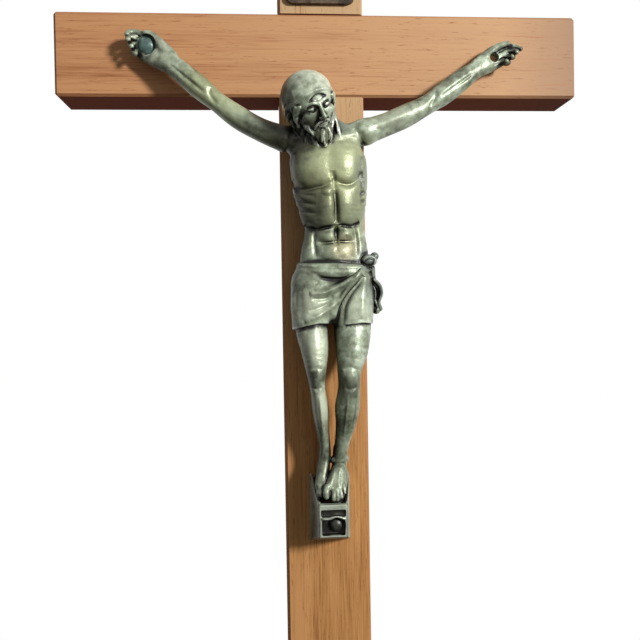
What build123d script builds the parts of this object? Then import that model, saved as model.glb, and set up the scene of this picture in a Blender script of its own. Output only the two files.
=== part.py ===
from build123d import *
from math import asin, cos, pi, radians, sin
import os

os.makedirs("parts", exist_ok=True)

# Wall crucifix: two wooden laths halved into each other, a cast metal figure on a small
# bracket, the nails that hold it, a plaque above the head and a ring hanger let into the back.
#
# Frame: origin on the wall plane where the centre lines of post and crossbar cross,
# +Z up, +X to the viewer's right, the front looks along -Y. All sizes are millimetres.

# ---------------------------------------------------------------- wooden cross
BAR_LENGTH = 130.0
BAR_HEIGHT = 20.5
POST_WIDTH = 21.0
POST_ABOVE_BAR = 28.0
POST_BELOW_BAR = 185.5
WOOD_THICK = 12.5
LAP_DEPTH = 6.25  # how deep the notch in the back of the crossbar is
LAP_CLEARANCE = 0.06  # glue line on each side of the lap
EDGE_EASE = 0.6  # sanded corner along the long edges

# ---------------------------------------------------------------- nails
NAIL_SHANK = 1.6
NAIL_CLEARANCE = 0.3  # radial, where a nail passes through metal
PILOT_CLEARANCE = 0.02  # radial, where a nail sits in wood
HAND_NAIL_HEAD = 4.2
HAND_NAIL_CROWN = 0.9
HAND_NAIL_IN_WOOD = 7.0
FOOT_NAIL_HEAD = 3.7
FOOT_NAIL_CROWN = 1.4
FOOT_NAIL_IN_WOOD = 8.0
SEAT_MARGIN = 0.25  # flat seat round a nail head, radial
DOME_FLATS = 4  # hammered rings from the middle of a nail head to its edge

# ---------------------------------------------------------------- plaque above the head
PLAQUE_WIDTH = 17.0
PLAQUE_HEIGHT = 9.0
PLAQUE_THICK = 1.2
PLAQUE_CORNER = 1.8
PLAQUE_RIM = 0.9
PLAQUE_SUNK = 0.4
PLAQUE_ABOVE_BAR = 2.2  # from the crossbar's top edge to the plaque's lower edge
PLAQUE_NAIL_MARGIN = 0.35  # between a nail head and the rim
PLAQUE_NAIL_SHANK = 0.9
PLAQUE_NAIL_HEAD = 1.9
PLAQUE_NAIL_HEAD_THICK = 0.5
PLAQUE_NAIL_IN_WOOD = 5.0

# ---------------------------------------------------------------- hanger in the back
RECESS_WIDTH = 13.0
RECESS_HEIGHT = 19.0
RECESS_DEPTH = 3.4
RECESS_BELOW_TOP = 6.5  # from the post's top end to the recess
RING_WIRE = 1.2
RING_INSIDE_WIDTH = 7.6
RING_DROP = 7.0  # from the hinge axis to the inside of the ring's bow
RING_CORNER = 1.6
RING_CLEARANCE = 0.3  # between the hanging ring and the strap behind it
WIRE_SIDES = 12  # the round wire is drawn with this many flats
HINGE_CLEARANCE = 0.06  # radial, ring bar in the strap's curl
STRAP_WIDTH = 5.6
STRAP_THICK = 0.5
STRAP_LENGTH = 8.4  # below the hinge axis
PIN_SHANK = 1.0
PIN_HEAD = 1.9
PIN_HEAD_THICK = 0.3
PIN_IN_WOOD = 5.0
PIN_BELOW_HINGE = 2.6
PIN_SPACING = 2.8

# ---------------------------------------------------------------- bracket under the feet
BRACKET_X = 0.4
BRACKET_BACK_WIDTH = 10.3
BRACKET_FRONT_WIDTH = 6.9
BRACKET_REACH = 11.4
BRACKET_TOP_BACK = -104.2
BRACKET_TOP_FRONT = -109.1
BRACKET_FOOT_BACK = -121.0
BRACKET_FOOT_FRONT = -117.0
BRACKET_RIM = 0.8
BRACKET_TRAY = 0.6
TRAY_HEADROOM = 4.0  # how far above the tray's floor the cut for it reaches
FOOT_NAIL_X = 1.1
FOOT_NAIL_Z = -114.2
FOOT_NAIL_SEAT = 9.6  # distance of the sunk panel from the wood
PANEL_WIDTH = 5.4
PANEL_HEIGHT = 3.6

# ---------------------------------------------------------------- the cast figure
# Stations are (x, stand, z, half width, half depth); stand is the distance in front of
# the wood, and each list runs along one form of the body.
TRUNK = [  # the last value is how far the front is drawn in along the middle
    (1.6, 5.9, -58.0, 8.6, 4.6, 0.0),
    (2.2, 5.8, -50.0, 8.1, 4.2, 0.3),
    (2.2, 5.8, -44.2, 7.3, 4.0, 0.5),
    (1.8, 6.2, -41.2, 7.9, 5.0, 0.7),
    (1.5, 6.5, -37.0, 8.6, 5.4, 0.8),
    (1.0, 6.8, -32.0, 9.3, 5.6, 0.7),
    (0.7, 6.8, -27.0, 9.2, 5.2, 0.5),
    (0.4, 6.6, -22.8, 7.7, 4.1, 0.2),
    (0.1, 6.6, -20.0, 4.8, 3.0, 0.0),
]
NECK = [
    (0.2, 6.4, -21.5, 3.6, 3.0),
    (-0.6, 7.8, -18.6, 2.6, 2.5),
    (-1.7, 9.8, -16.0, 2.6, 2.6),
]
RIGHT_SIDE_ARM = [
    (4.5, 6.2, -22.3, 3.2, 2.9),
    (10.3, 6.2, -20.4, 3.0, 2.8),
    (15.0, 5.9, -18.7, 2.75, 2.6),
    (20.0, 5.7, -16.5, 2.75, 2.6),
    (25.5, 5.3, -13.6, 2.3, 2.2),  # elbow
    (29.5, 5.0, -10.9, 2.65, 2.3),
    (34.0, 4.4, -7.5, 2.55, 2.0),
    (39.4, 3.4, -3.5, 2.45, 1.5),  # wrist
    (43.0, 2.7, -1.1, 2.9, 1.1),
    (46.0, 2.9, 0.2, 2.5, 1.0),  # knuckles
]
LEFT_SIDE_ARM = [
    (-4.5, 6.4, -23.8, 3.2, 2.9),
    (-10.6, 6.5, -21.9, 3.0, 2.8),
    (-15.5, 6.3, -19.9, 2.7, 2.6),
    (-20.5, 6.0, -17.0, 2.7, 2.6),
    (-25.5, 5.7, -13.2, 2.35, 2.2),  # elbow
    (-29.5, 5.5, -9.8, 2.7, 2.4),
    (-34.0, 5.1, -5.9, 2.5, 2.0),
    (-38.9, 4.1, -1.5, 2.7, 1.5),  # wrist
    (-42.0, 3.2, 0.9, 3.5, 1.2),
    (-44.6, 3.5, 2.5, 3.2, 1.1),  # knuckles
]
RIGHT_SIDE_LEG = [
    (5.7, 6.0, -60.0, 4.9, 4.4),
    (6.0, 6.8, -67.0, 4.5, 4.3),
    (5.7, 7.3, -73.0, 3.85, 3.8),
    (4.9, 7.6, -78.5, 2.8, 3.3),  # knee
    (4.8, 7.1, -82.5, 2.6, 2.8),
    (4.4, 6.4, -86.8, 2.95, 3.0),
    (4.0, 6.0, -91.0, 2.4, 2.5),
    (3.0, 6.0, -96.5, 1.75, 1.9),
    (2.8, 6.1, -102.8, 1.8, 2.3),
]
LEFT_SIDE_LEG = [
    (-3.5, 5.9, -60.0, 4.6, 4.3),
    (-3.75, 6.8, -67.0, 4.0, 4.1),
    (-3.2, 7.2, -72.5, 3.35, 3.6),
    (-3.0, 7.5, -78.5, 2.4, 3.2),  # knee
    (-2.65, 7.0, -82.5, 1.8, 2.6),
    (-2.0, 6.2, -87.0, 2.0, 2.8),
    (-1.7, 5.8, -91.0, 1.65, 2.4),
    (-1.05, 5.7, -96.5, 1.4, 1.8),
    (-1.1, 5.6, -102.6, 1.4, 2.0),
]
RIGHT_SIDE_FOOT = [
    (3.0, 4.4, -104.1, 1.7, 3.1),
    (2.2, 7.8, -105.5, 2.0, 3.0),
    (0.9, 10.2, -107.2, 2.3, 1.9),
]
LEFT_SIDE_FOOT = [
    (-1.1, 4.2, -103.9, 1.5, 3.1),
    (-1.6, 6.8, -105.3, 1.6, 2.8),
    (-2.0, 8.8, -106.9, 1.5, 1.9),
]
MUSCLES = [  # centre, axis, half length and half width of each rounded form
    ((-4.1, 8.9, -29.2), (1.0, 0, 0.15), 5.4, 3.9),  # chest
    ((5.2, 8.9, -28.6), (1.0, 0, -0.15), 5.1, 3.9),
    ((-2.4, 8.6, -39.0), (-0.15, 0, 1.0), 4.8, 3.0),  # ribs
    ((6.0, 8.6, -38.7), (0.15, 0, 1.0), 4.8, 3.0),
    ((0.0, 8.0, -45.8), (0, 0, 1.0), 2.0, 2.1),  # belly
    ((4.4, 8.0, -45.5), (0, 0, 1.0), 2.0, 2.1),
    ((0.0, 8.0, -49.5), (0, 0, 1.0), 2.2, 2.2),
    ((4.4, 8.0, -49.4), (0, 0, 1.0), 2.2, 2.2),
    ((9.6, 6.6, -20.7), (0.5, 0, 0.4), 3.5, 3.1),  # shoulders
    ((-9.3, 6.7, -22.2), (-0.5, 0, 0.4), 3.5, 3.1),
    ((4.9, 8.6, -79.3), (0, 0, 1.0), 2.2, 2.1),  # knees
    ((-3.0, 8.5, -79.3), (0, 0, 1.0), 2.1, 2.0),
]
HEAD_CENTRE = (-3.2, 12.0, -14.7)
HEAD_AXIS = (-0.28, -0.32, 0.9)  # from chin to crown; bowed, and leaning to the left side
HEAD_HALF_HEIGHT = 6.8
HEAD_HALF_WIDTH = 5.7
EGG_RINGS = [-75, -45, -15, 15, 45, 75]  # degrees, where the rounded forms have their rings
FACE = [  # brow, cheeks and jaw, running down the front of the head
    (-1.6, 15.0, -14.2, 3.7, 2.9),
    (-0.9, 15.3, -18.0, 3.3, 2.8),
    (-0.6, 14.6, -21.2, 2.2, 2.0),
]
NOSE = [
    (0.6, 17.8, -15.6, 0.5, 0.5),
    (0.9, 18.5, -17.9, 0.75, 0.8),
]
BEARD = [
    (-0.7, 14.4, -19.6, 3.4, 2.8),
    (-0.2, 14.6, -23.0, 2.7, 2.3),
    (0.2, 14.2, -26.3, 1.1, 1.0),
]
HAIR_LEFT_SIDE = [
    (-6.4, 10.6, -14.0, 3.6, 4.2),
    (-6.9, 9.8, -18.5, 3.0, 3.6),
    (-5.4, 9.6, -24.0, 2.4, 2.6),
]
HAIR_RIGHT_SIDE = [
    (0.6, 10.8, -14.5, 2.6, 3.6),
    (2.4, 10.0, -19.5, 1.9, 2.6),
    (4.4, 9.9, -25.0, 1.0, 1.6),
]
LOCKS = [  # single locks that stand out of the hair
    [(-7.6, 12.4, -12.6, 1.0, 1.2), (-8.4, 12.0, -17.0, 1.1, 1.3), (-6.9, 11.8, -23.2, 0.7, 0.8)],
    [(-5.2, 13.2, -15.4, 0.9, 1.0), (-5.2, 12.6, -19.6, 1.0, 1.1), (-3.9, 12.2, -25.0, 0.6, 0.7)],
    [(1.6, 12.6, -15.0, 0.8, 1.0), (3.0, 12.2, -19.0, 0.9, 1.1), (4.9, 11.6, -24.6, 0.5, 0.7)],
    [(-4.0, 15.8, -9.6, 1.0, 0.9), (-6.4, 14.9, -11.6, 1.2, 1.0), (-7.7, 13.4, -14.6, 1.0, 1.0)],
]
# The rolled waistband: sections along its own axis, which leans so that the front is low.
BELT_CENTRE = (1.8, 5.9, -53.6)
BELT_TILT = 14.0
BELT = [  # rise along the axis, half width, half depth
    (-2.0, 8.5, 4.9),
    (-0.9, 9.3, 5.7),
    (0.7, 9.2, 5.6),
    (1.6, 8.3, 4.7),
]
# The cloth round the hips: x, stand, z, half width, half depth and how far the front is
# drawn in between the thighs.
CLOTH = [
    (1.7, 5.9, -54.0, 8.8, 4.9, 0.1),
    (1.3, 6.2, -60.5, 9.8, 5.6, 0.7),
    (1.2, 6.5, -67.4, 9.6, 5.6, 1.7),
]
KNOT = [
    (8.2, 8.0, -52.5, 1.0, 0.9),
    (10.0, 7.8, -51.6, 2.0, 1.6),
    (11.8, 7.2, -50.7, 1.1, 1.0),
]
CLOTH_FOLDS = [  # slender ridges that fan out from the knot
    [(9.0, 9.0, -52.5, 1.1, 0.9), (8.6, 11.0, -59.0, 1.9, 1.1), (8.2, 11.2, -66.6, 2.0, 1.0)],
    [(7.8, 9.9, -53.6, 0.8, 0.8), (3.4, 11.3, -57.6, 1.0, 0.9), (-2.4, 11.3, -60.0, 0.7, 0.7)],
    [(8.3, 10.0, -54.0, 0.7, 0.7), (5.6, 11.2, -57.4, 0.8, 0.8), (3.2, 11.2, -60.6, 0.6, 0.6)],
    [(-5.8, 10.4, -55.6, 0.6, 0.6), (-1.0, 11.4, -56.4, 0.8, 0.8), (4.4, 11.0, -55.2, 0.6, 0.6)],
]
CLOTH_TAIL = [  # the end that hangs outside the thigh
    (11.2, 6.6, -53.0, 0.9, 1.4),
    (12.4, 5.6, -58.0, 1.1, 2.0),
    (12.4, 5.0, -63.2, 1.3, 2.3),
]
FURROW_SHARE = 0.35  # how wide the drawn-in middle is, as a share of the half width
LIMB_SIDES = 12  # sides of the limbs
BODY_SIDES = 20  # sides of the trunk, the waistband and the cloth
CRISP_SIDES = 8  # sides of the small crisp forms: fingers, locks of hair and folds
# Each finger as root, bend and tip.
FINGER_ROOT_RADIUS = 0.85
FINGER_TIP_RADIUS = 0.6
RIGHT_SIDE_FINGERS = [
    [(44.6, 3.2, 1.5), (47.8, 3.6, 1.9), (50.0, 4.6, 1.0)],
    [(45.2, 3.2, 0.3), (48.2, 4.2, 0.2), (48.7, 6.0, -0.4)],
    [(45.3, 3.1, -1.0), (47.8, 4.2, -1.4), (47.6, 6.0, -1.7)],
    [(45.0, 3.0, -2.1), (46.9, 4.0, -3.0), (46.4, 5.6, -3.1)],
]
LEFT_SIDE_FINGERS = [
    [(-43.6, 3.8, 4.2), (-46.4, 5.0, 4.6), (-46.6, 6.9, 3.6)],
    [(-44.6, 3.8, 3.0), (-47.0, 5.0, 2.9), (-46.6, 6.9, 2.0)],
    [(-45.0, 3.7, 1.6), (-46.8, 4.9, 1.1), (-46.0, 6.7, 0.4)],
    [(-44.6, 3.6, 0.2), (-46.0, 4.8, -0.4), (-45.2, 6.4, -1.0)],
]
RIGHT_SIDE_THUMB = [(42.2, 3.4, 1.0), (44.4, 4.4, 2.0), (46.4, 5.4, 1.9)]
LEFT_SIDE_THUMB = [(-39.4, 4.6, 1.6), (-40.4, 5.4, 3.6), (-42.0, 6.0, 4.2)]
# Each toe as root and tip, with its radius.
TOE_TAPER = 0.8
TOES = [
    ((-0.8, 9.6, -105.4), (-1.2, 11.2, -107.6), 0.9),
    ((0.4, 9.8, -105.8), (0.5, 11.3, -108.2), 0.6),
    ((1.3, 9.8, -105.8), (1.45, 11.2, -108.1), 0.55),
    ((2.2, 9.6, -105.4), (2.35, 10.9, -107.6), 0.5),
    ((2.9, 9.3, -104.8), (3.1, 10.4, -106.6), 0.5),
    ((-2.8, 8.2, -105.0), (-3.0, 9.6, -107.2), 0.5),
    ((-2.0, 8.4, -105.2), (-2.1, 9.8, -107.4), 0.5),
]
LEFT_HAND_NAIL = (-42.1, 0.7)
RIGHT_HAND_HOLE = (42.7, -1.5)
HAND_HOLE = 2.2
HAND_SEAT = 4.0  # distance of the nail head's underside from the wood
BACK_CLEARANCE = 0.3  # between the flat back of the casting and the wood


def at(x, stand, z):
    """A point of the figure, from its distance in front of the wood."""
    return Vector(x, -WOOD_THICK - stand, z)


def oval(wide, deep, sides, furrow=0.0):
    """The corners of an oval section, with its front drawn in along the middle."""
    corners = []
    for k in range(sides):
        turn = 2 * pi * (k + 0.5) / sides
        x, y = wide * cos(turn), deep * sin(turn)
        middle = max(0.0, 1 - abs(x) / (wide * FURROW_SHARE))
        corners.append((x, y + furrow * middle if y < 0 else y))
    return corners


def form(stations, sides=LIMB_SIDES):
    """One tapering form of the body, through oval sections square to its path."""
    centres = [at(x, stand, z) for x, stand, z, wide, deep in stations]
    last = len(centres) - 1
    with BuildPart() as shape:
        for i, (x, stand, z, wide, deep) in enumerate(stations):
            along = (centres[min(i + 1, last)] - centres[max(i - 1, 0)]).normalized()
            side = along.cross(Vector(0, 1, 0)).normalized()
            with BuildSketch(Plane(origin=centres[i], x_dir=side, z_dir=along)):
                Polygon(*oval(wide, deep, sides), align=None)
        loft(ruled=True)
    return shape.part


def egg(centre, along, half_length, half_width):
    """A rounded form about its own axis, through rings that lie on an ellipse."""
    axis = Vector(*along).normalized()
    side = axis.cross(Vector(0, 1, 0)).normalized()
    with BuildPart() as shape:
        for angle in EGG_RINGS:
            rise = half_length * sin(radians(angle))
            radius = half_width * cos(radians(angle))
            with BuildSketch(Plane(origin=at(*centre) + axis * rise, x_dir=side, z_dir=axis)):
                Polygon(*oval(radius, radius, LIMB_SIDES), align=None)
        loft(ruled=True)
    return shape.part


def finger(root, bend, tip):
    """A curled finger: a taper from root to tip that turns at the bend."""
    middle_radius = (FINGER_ROOT_RADIUS + FINGER_TIP_RADIUS) / 2
    return form(
        [
            (*root, FINGER_ROOT_RADIUS, FINGER_ROOT_RADIUS),
            (*bend, middle_radius, middle_radius),
            (*tip, FINGER_TIP_RADIUS, FINGER_TIP_RADIUS),
        ],
        CRISP_SIDES,
    )


def toe(root, tip, radius):
    """A toe that tapers from its root to its tip."""
    return form([(*root, radius, radius), (*tip, radius * TOE_TAPER, radius * TOE_TAPER)], CRISP_SIDES)


def round_form(stations):
    """A wide form through level ovals whose front is drawn in along the middle."""
    with BuildPart() as shape:
        for x, stand, z, wide, deep, furrow in stations:
            with BuildSketch(Plane(origin=at(x, stand, z))):
                Polygon(*oval(wide, deep, BODY_SIDES, furrow), align=None)
        loft(ruled=True)
    return shape.part


def nail(axis_x, head_plane, axis_z, shank, head, crown, end_plane):
    """A round nail along Y: a shank from the head's seat to its end, under a hammered dome."""
    length = end_plane - head_plane
    dome_radius = ((head / 2) ** 2 + crown**2) / (2 * crown)
    steps = [asin(head / 2 / dome_radius) * k / DOME_FLATS for k in range(DOME_FLATS + 1)]
    dome = [(dome_radius * sin(turn), dome_radius * (1 - cos(turn)) - crown) for turn in steps]
    with BuildPart() as shape:
        with BuildSketch(Plane(origin=(axis_x, head_plane, axis_z))):
            with BuildLine():
                Polyline(*dome, (shank / 2, 0), (shank / 2, length), (0, length), close=True)
            make_face()
        revolve(axis=Axis((axis_x, 0, axis_z), (0, 1, 0)))
    return shape.part


WOOD_FRONT = -WOOD_THICK
POST_HEIGHT = POST_ABOVE_BAR + BAR_HEIGHT + POST_BELOW_BAR
POST_TOP = BAR_HEIGHT / 2 + POST_ABOVE_BAR
PLAQUE_Z = BAR_HEIGHT / 2 + PLAQUE_ABOVE_BAR + PLAQUE_HEIGHT / 2
HINGE_Z = POST_TOP - RECESS_BELOW_TOP - RECESS_HEIGHT / 2
STRAP_FACE = STRAP_THICK - RECESS_DEPTH
HINGE_Y = STRAP_FACE + RING_CLEARANCE + RING_WIRE / 2
PIN_PLACES = [HINGE_Z - PIN_BELOW_HINGE, HINGE_Z - PIN_BELOW_HINGE - PIN_SPACING]
PLAQUE_NAIL_X = PLAQUE_WIDTH / 2 - PLAQUE_RIM - PLAQUE_NAIL_MARGIN - PLAQUE_NAIL_HEAD / 2
PLAQUE_NAIL_PLACES = [-PLAQUE_NAIL_X, PLAQUE_NAIL_X]

# ================================================================ the post, behind
with BuildPart() as post:
    with BuildSketch(Plane.XY.offset(POST_TOP - POST_HEIGHT)):
        with Locations((0, WOOD_FRONT / 2)):
            Rectangle(POST_WIDTH, WOOD_THICK)
    extrude(amount=POST_HEIGHT)
    chamfer(post.edges(), EDGE_EASE)
    # The notch in its front takes the crossbar.
    with BuildSketch(Plane.XZ.offset(WOOD_THICK - LAP_DEPTH)):
        Rectangle(POST_WIDTH * 2, BAR_HEIGHT + 2 * LAP_CLEARANCE)
    extrude(amount=WOOD_THICK, mode=Mode.SUBTRACT)
    # The recess in its back takes the hanger.
    with BuildSketch(Plane.XZ.offset(RECESS_DEPTH)):
        with Locations((0, HINGE_Z)):
            SlotOverall(RECESS_HEIGHT, RECESS_WIDTH, rotation=90)
    extrude(amount=-RECESS_DEPTH, mode=Mode.SUBTRACT)
    # Pilot holes: hanger pins from the recess, plaque nails and foot nail from the front.
    with BuildSketch(Plane.XZ.offset(RECESS_DEPTH)):
        with Locations([(0, z) for z in PIN_PLACES]):
            Circle(PIN_SHANK / 2 + PILOT_CLEARANCE)
    extrude(amount=PIN_IN_WOOD, mode=Mode.SUBTRACT)
    with BuildSketch(Plane.XZ.offset(WOOD_THICK)):
        with Locations([(x, PLAQUE_Z) for x in PLAQUE_NAIL_PLACES]):
            Circle(PLAQUE_NAIL_SHANK / 2 + PILOT_CLEARANCE)
    extrude(amount=-PLAQUE_NAIL_IN_WOOD, mode=Mode.SUBTRACT)
    with BuildSketch(Plane.XZ.offset(WOOD_THICK)):
        with Locations((FOOT_NAIL_X, FOOT_NAIL_Z)):
            Circle(NAIL_SHANK / 2 + PILOT_CLEARANCE)
    extrude(amount=-FOOT_NAIL_IN_WOOD, mode=Mode.SUBTRACT)
post.part.label = "post"
export_step(post.part, "parts/post.step")

# ================================================================ the crossbar, in front
with BuildPart() as crossbar:
    with BuildSketch(Plane.YZ.offset(-BAR_LENGTH / 2)):
        with Locations((WOOD_FRONT / 2, 0)):
            Rectangle(WOOD_THICK, BAR_HEIGHT)
    extrude(amount=BAR_LENGTH)
    chamfer(crossbar.edges(), EDGE_EASE)
    with BuildSketch(Plane.XZ.offset(WOOD_THICK - LAP_DEPTH)):
        Rectangle(POST_WIDTH + 2 * LAP_CLEARANCE, BAR_HEIGHT * 2)
    extrude(amount=-WOOD_THICK, mode=Mode.SUBTRACT)
    with BuildSketch(Plane.XZ.offset(WOOD_THICK)):
        with Locations(LEFT_HAND_NAIL, RIGHT_HAND_HOLE):
            Circle(NAIL_SHANK / 2 + PILOT_CLEARANCE)
    extrude(amount=-HAND_NAIL_IN_WOOD, mode=Mode.SUBTRACT)
crossbar.part.label = "crossbar"
export_step(crossbar.part, "parts/crossbar.step")

# ================================================================ the bracket under the feet
with BuildPart() as bracket:
    bracket_back = Plane(origin=at(BRACKET_X, 0, 0), x_dir=(1, 0, 0), z_dir=(0, -1, 0))
    bracket_front = bracket_back.offset(BRACKET_REACH)
    for plane, width, top, foot in (
        (bracket_back, BRACKET_BACK_WIDTH, BRACKET_TOP_BACK, BRACKET_FOOT_BACK),
        (bracket_front, BRACKET_FRONT_WIDTH, BRACKET_TOP_FRONT, BRACKET_FOOT_FRONT),
    ):
        with BuildSketch(plane):
            with Locations((0, (top + foot) / 2)):
                Rectangle(width, top - foot)
    loft()
    # The tray that the feet stand in, with a rim on three sides.
    for plane, width, top in (
        (bracket_back.offset(-BRACKET_TRAY), BRACKET_BACK_WIDTH, BRACKET_TOP_BACK),
        (bracket_front.offset(-BRACKET_RIM), BRACKET_FRONT_WIDTH, BRACKET_TOP_FRONT),
    ):
        with BuildSketch(plane):
            with Locations((0, top - BRACKET_TRAY)):
                Rectangle(width - 2 * BRACKET_RIM, TRAY_HEADROOM, align=(Align.CENTER, Align.MIN))
    loft(mode=Mode.SUBTRACT)
    # The sunk panel with a scalloped upper edge round the nail head.
    with BuildSketch(bracket_back.offset(FOOT_NAIL_SEAT)):
        with Locations((FOOT_NAIL_X - BRACKET_X, FOOT_NAIL_Z)):
            Circle(FOOT_NAIL_HEAD / 2 + SEAT_MARGIN)
        with Locations((0, FOOT_NAIL_Z - PANEL_HEIGHT / 6)):
            Rectangle(PANEL_WIDTH, PANEL_HEIGHT)
    extrude(amount=BRACKET_REACH, mode=Mode.SUBTRACT)

# ================================================================ the cast figure
limbs = [
    form(stations)
    for stations in (NECK, RIGHT_SIDE_ARM, LEFT_SIDE_ARM, RIGHT_SIDE_LEG, LEFT_SIDE_LEG)
]
feet = [form(stations, CRISP_SIDES) for stations in (RIGHT_SIDE_FOOT, LEFT_SIDE_FOOT)]
fingers = [
    finger(*points)
    for points in RIGHT_SIDE_FINGERS + LEFT_SIDE_FINGERS + [RIGHT_SIDE_THUMB, LEFT_SIDE_THUMB]
]
muscles = [egg(*muscle) for muscle in MUSCLES]
toes = [toe(*points) for points in TOES]
head = [egg(HEAD_CENTRE, HEAD_AXIS, HEAD_HALF_HEIGHT, HEAD_HALF_WIDTH), form(FACE)]
hair = [
    form(stations, CRISP_SIDES)
    for stations in (NOSE, BEARD, HAIR_LEFT_SIDE, HAIR_RIGHT_SIDE, *LOCKS)
]
dress = [form(stations, CRISP_SIDES) for stations in (KNOT, CLOTH_TAIL, *CLOTH_FOLDS)]
dress.append(round_form(CLOTH))

with BuildPart() as belt:
    belt_base = Plane(origin=at(*BELT_CENTRE)).rotated((BELT_TILT, 0, 0))
    for rise, wide, deep in BELT:
        with BuildSketch(belt_base.offset(rise)):
            Polygon(*oval(wide, deep, BODY_SIDES), align=None)
    loft(ruled=True)

with BuildPart() as corpus:
    add(round_form(TRUNK))
    add(limbs + feet + fingers + muscles + toes + head + hair + dress + [belt.part])
    # The back of the casting is flat, a little clear of the wood.
    split(bisect_by=Plane.XZ.offset(WOOD_THICK + BACK_CLEARANCE), keep=Keep.TOP)
    add(bracket.part)
    # Holes in the palms, with a flat seat under the nail's head in the left-side one.
    with BuildSketch(Plane.XZ.offset(WOOD_THICK)):
        with Locations(LEFT_HAND_NAIL, RIGHT_HAND_HOLE):
            Circle(HAND_HOLE / 2)
        with Locations((FOOT_NAIL_X, FOOT_NAIL_Z)):
            Circle(NAIL_SHANK / 2 + NAIL_CLEARANCE)
    extrude(amount=BRACKET_REACH * 2, mode=Mode.SUBTRACT)
    with BuildSketch(Plane.XZ.offset(WOOD_THICK + HAND_SEAT)):
        with Locations(LEFT_HAND_NAIL):
            Circle(HAND_NAIL_HEAD / 2 + SEAT_MARGIN)
    extrude(amount=BRACKET_REACH, mode=Mode.SUBTRACT)
corpus.part.label = "corpus"
export_step(corpus.part, "parts/corpus.step")
print("corpus", round(corpus.part.volume), len(corpus.solids()), corpus.part.is_valid)

# ================================================================ the nails that hold it
hand_nail = nail(LEFT_HAND_NAIL[0], WOOD_FRONT - HAND_SEAT, LEFT_HAND_NAIL[1], NAIL_SHANK,
                 HAND_NAIL_HEAD, HAND_NAIL_CROWN, WOOD_FRONT + HAND_NAIL_IN_WOOD)
hand_nail.label = "hand_nail"
export_step(hand_nail, "parts/hand_nail.step")

foot_nail = nail(FOOT_NAIL_X, WOOD_FRONT - FOOT_NAIL_SEAT, FOOT_NAIL_Z, NAIL_SHANK,
                 FOOT_NAIL_HEAD, FOOT_NAIL_CROWN, WOOD_FRONT + FOOT_NAIL_IN_WOOD)
foot_nail.label = "foot_nail"
export_step(foot_nail, "parts/foot_nail.step")

# ================================================================ plaque and its nails
with BuildPart() as titulus:
    with BuildSketch(Plane.XZ.offset(WOOD_THICK)):
        with Locations((0, PLAQUE_Z)):
            RectangleRounded(PLAQUE_WIDTH, PLAQUE_HEIGHT, PLAQUE_CORNER)
    extrude(amount=PLAQUE_THICK)
    with BuildSketch(Plane.XZ.offset(WOOD_THICK + PLAQUE_THICK)):
        with Locations((0, PLAQUE_Z)):
            RectangleRounded(PLAQUE_WIDTH - 2 * PLAQUE_RIM, PLAQUE_HEIGHT - 2 * PLAQUE_RIM,
                             PLAQUE_CORNER - PLAQUE_RIM)
    extrude(amount=-PLAQUE_SUNK, mode=Mode.SUBTRACT)
    with BuildSketch(Plane.XZ.offset(WOOD_THICK)):
        with Locations([(x, PLAQUE_Z) for x in PLAQUE_NAIL_PLACES]):
            Circle(PLAQUE_NAIL_SHANK / 2 + PILOT_CLEARANCE)
    extrude(amount=PLAQUE_THICK, mode=Mode.SUBTRACT)
titulus.part.label = "titulus"
export_step(titulus.part, "parts/titulus.step")

plaque_seat = WOOD_THICK + PLAQUE_THICK - PLAQUE_SUNK
with BuildPart() as titulus_nails:
    with BuildSketch(Plane.XZ.offset(plaque_seat)):
        with Locations([(x, PLAQUE_Z) for x in PLAQUE_NAIL_PLACES]):
            Circle(PLAQUE_NAIL_HEAD / 2)
    extrude(amount=PLAQUE_NAIL_HEAD_THICK)
    with BuildSketch(Plane.XZ.offset(plaque_seat)):
        with Locations([(x, PLAQUE_Z) for x in PLAQUE_NAIL_PLACES]):
            Circle(PLAQUE_NAIL_SHANK / 2)
    extrude(amount=-(PLAQUE_THICK - PLAQUE_SUNK + PLAQUE_NAIL_IN_WOOD))
titulus_nails.part.label = "titulus_nails"
export_step(titulus_nails.part, "parts/titulus_nails.step")

# ================================================================ hanger in the back
with BuildPart() as hanger_strap:
    with BuildSketch(Plane.XZ.offset(RECESS_DEPTH)):
        with Locations((0, HINGE_Z)):
            Rectangle(STRAP_WIDTH, STRAP_LENGTH, align=(Align.CENTER, Align.MAX))
    extrude(amount=-STRAP_THICK)
    # The end is rolled round the ring's bar.
    curl_inside = RING_WIRE / 2 + HINGE_CLEARANCE
    with BuildSketch(Plane.YZ.offset(-STRAP_WIDTH / 2)):
        with Locations((HINGE_Y, HINGE_Z)):
            Circle(curl_inside + STRAP_THICK)
            Circle(curl_inside, mode=Mode.SUBTRACT)
    extrude(amount=STRAP_WIDTH)
    with BuildSketch(Plane.XZ.offset(RECESS_DEPTH)):
        with Locations([(0, z) for z in PIN_PLACES]):
            Circle(PIN_SHANK / 2 + PILOT_CLEARANCE)
    extrude(amount=-STRAP_THICK, mode=Mode.SUBTRACT)
hanger_strap.part.label = "hanger_strap"
export_step(hanger_strap.part, "parts/hanger_strap.step")

with BuildPart() as hanger_pins:
    with BuildSketch(Plane.XZ.offset(-STRAP_FACE)):
        with Locations([(0, z) for z in PIN_PLACES]):
            Circle(PIN_HEAD / 2)
    extrude(amount=-PIN_HEAD_THICK)
    with BuildSketch(Plane.XZ.offset(-STRAP_FACE)):
        with Locations([(0, z) for z in PIN_PLACES]):
            Circle(PIN_SHANK / 2)
    extrude(amount=STRAP_THICK + PIN_IN_WOOD)
hanger_pins.part.label = "hanger_pins"
export_step(hanger_pins.part, "parts/hanger_pins.step")

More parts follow.
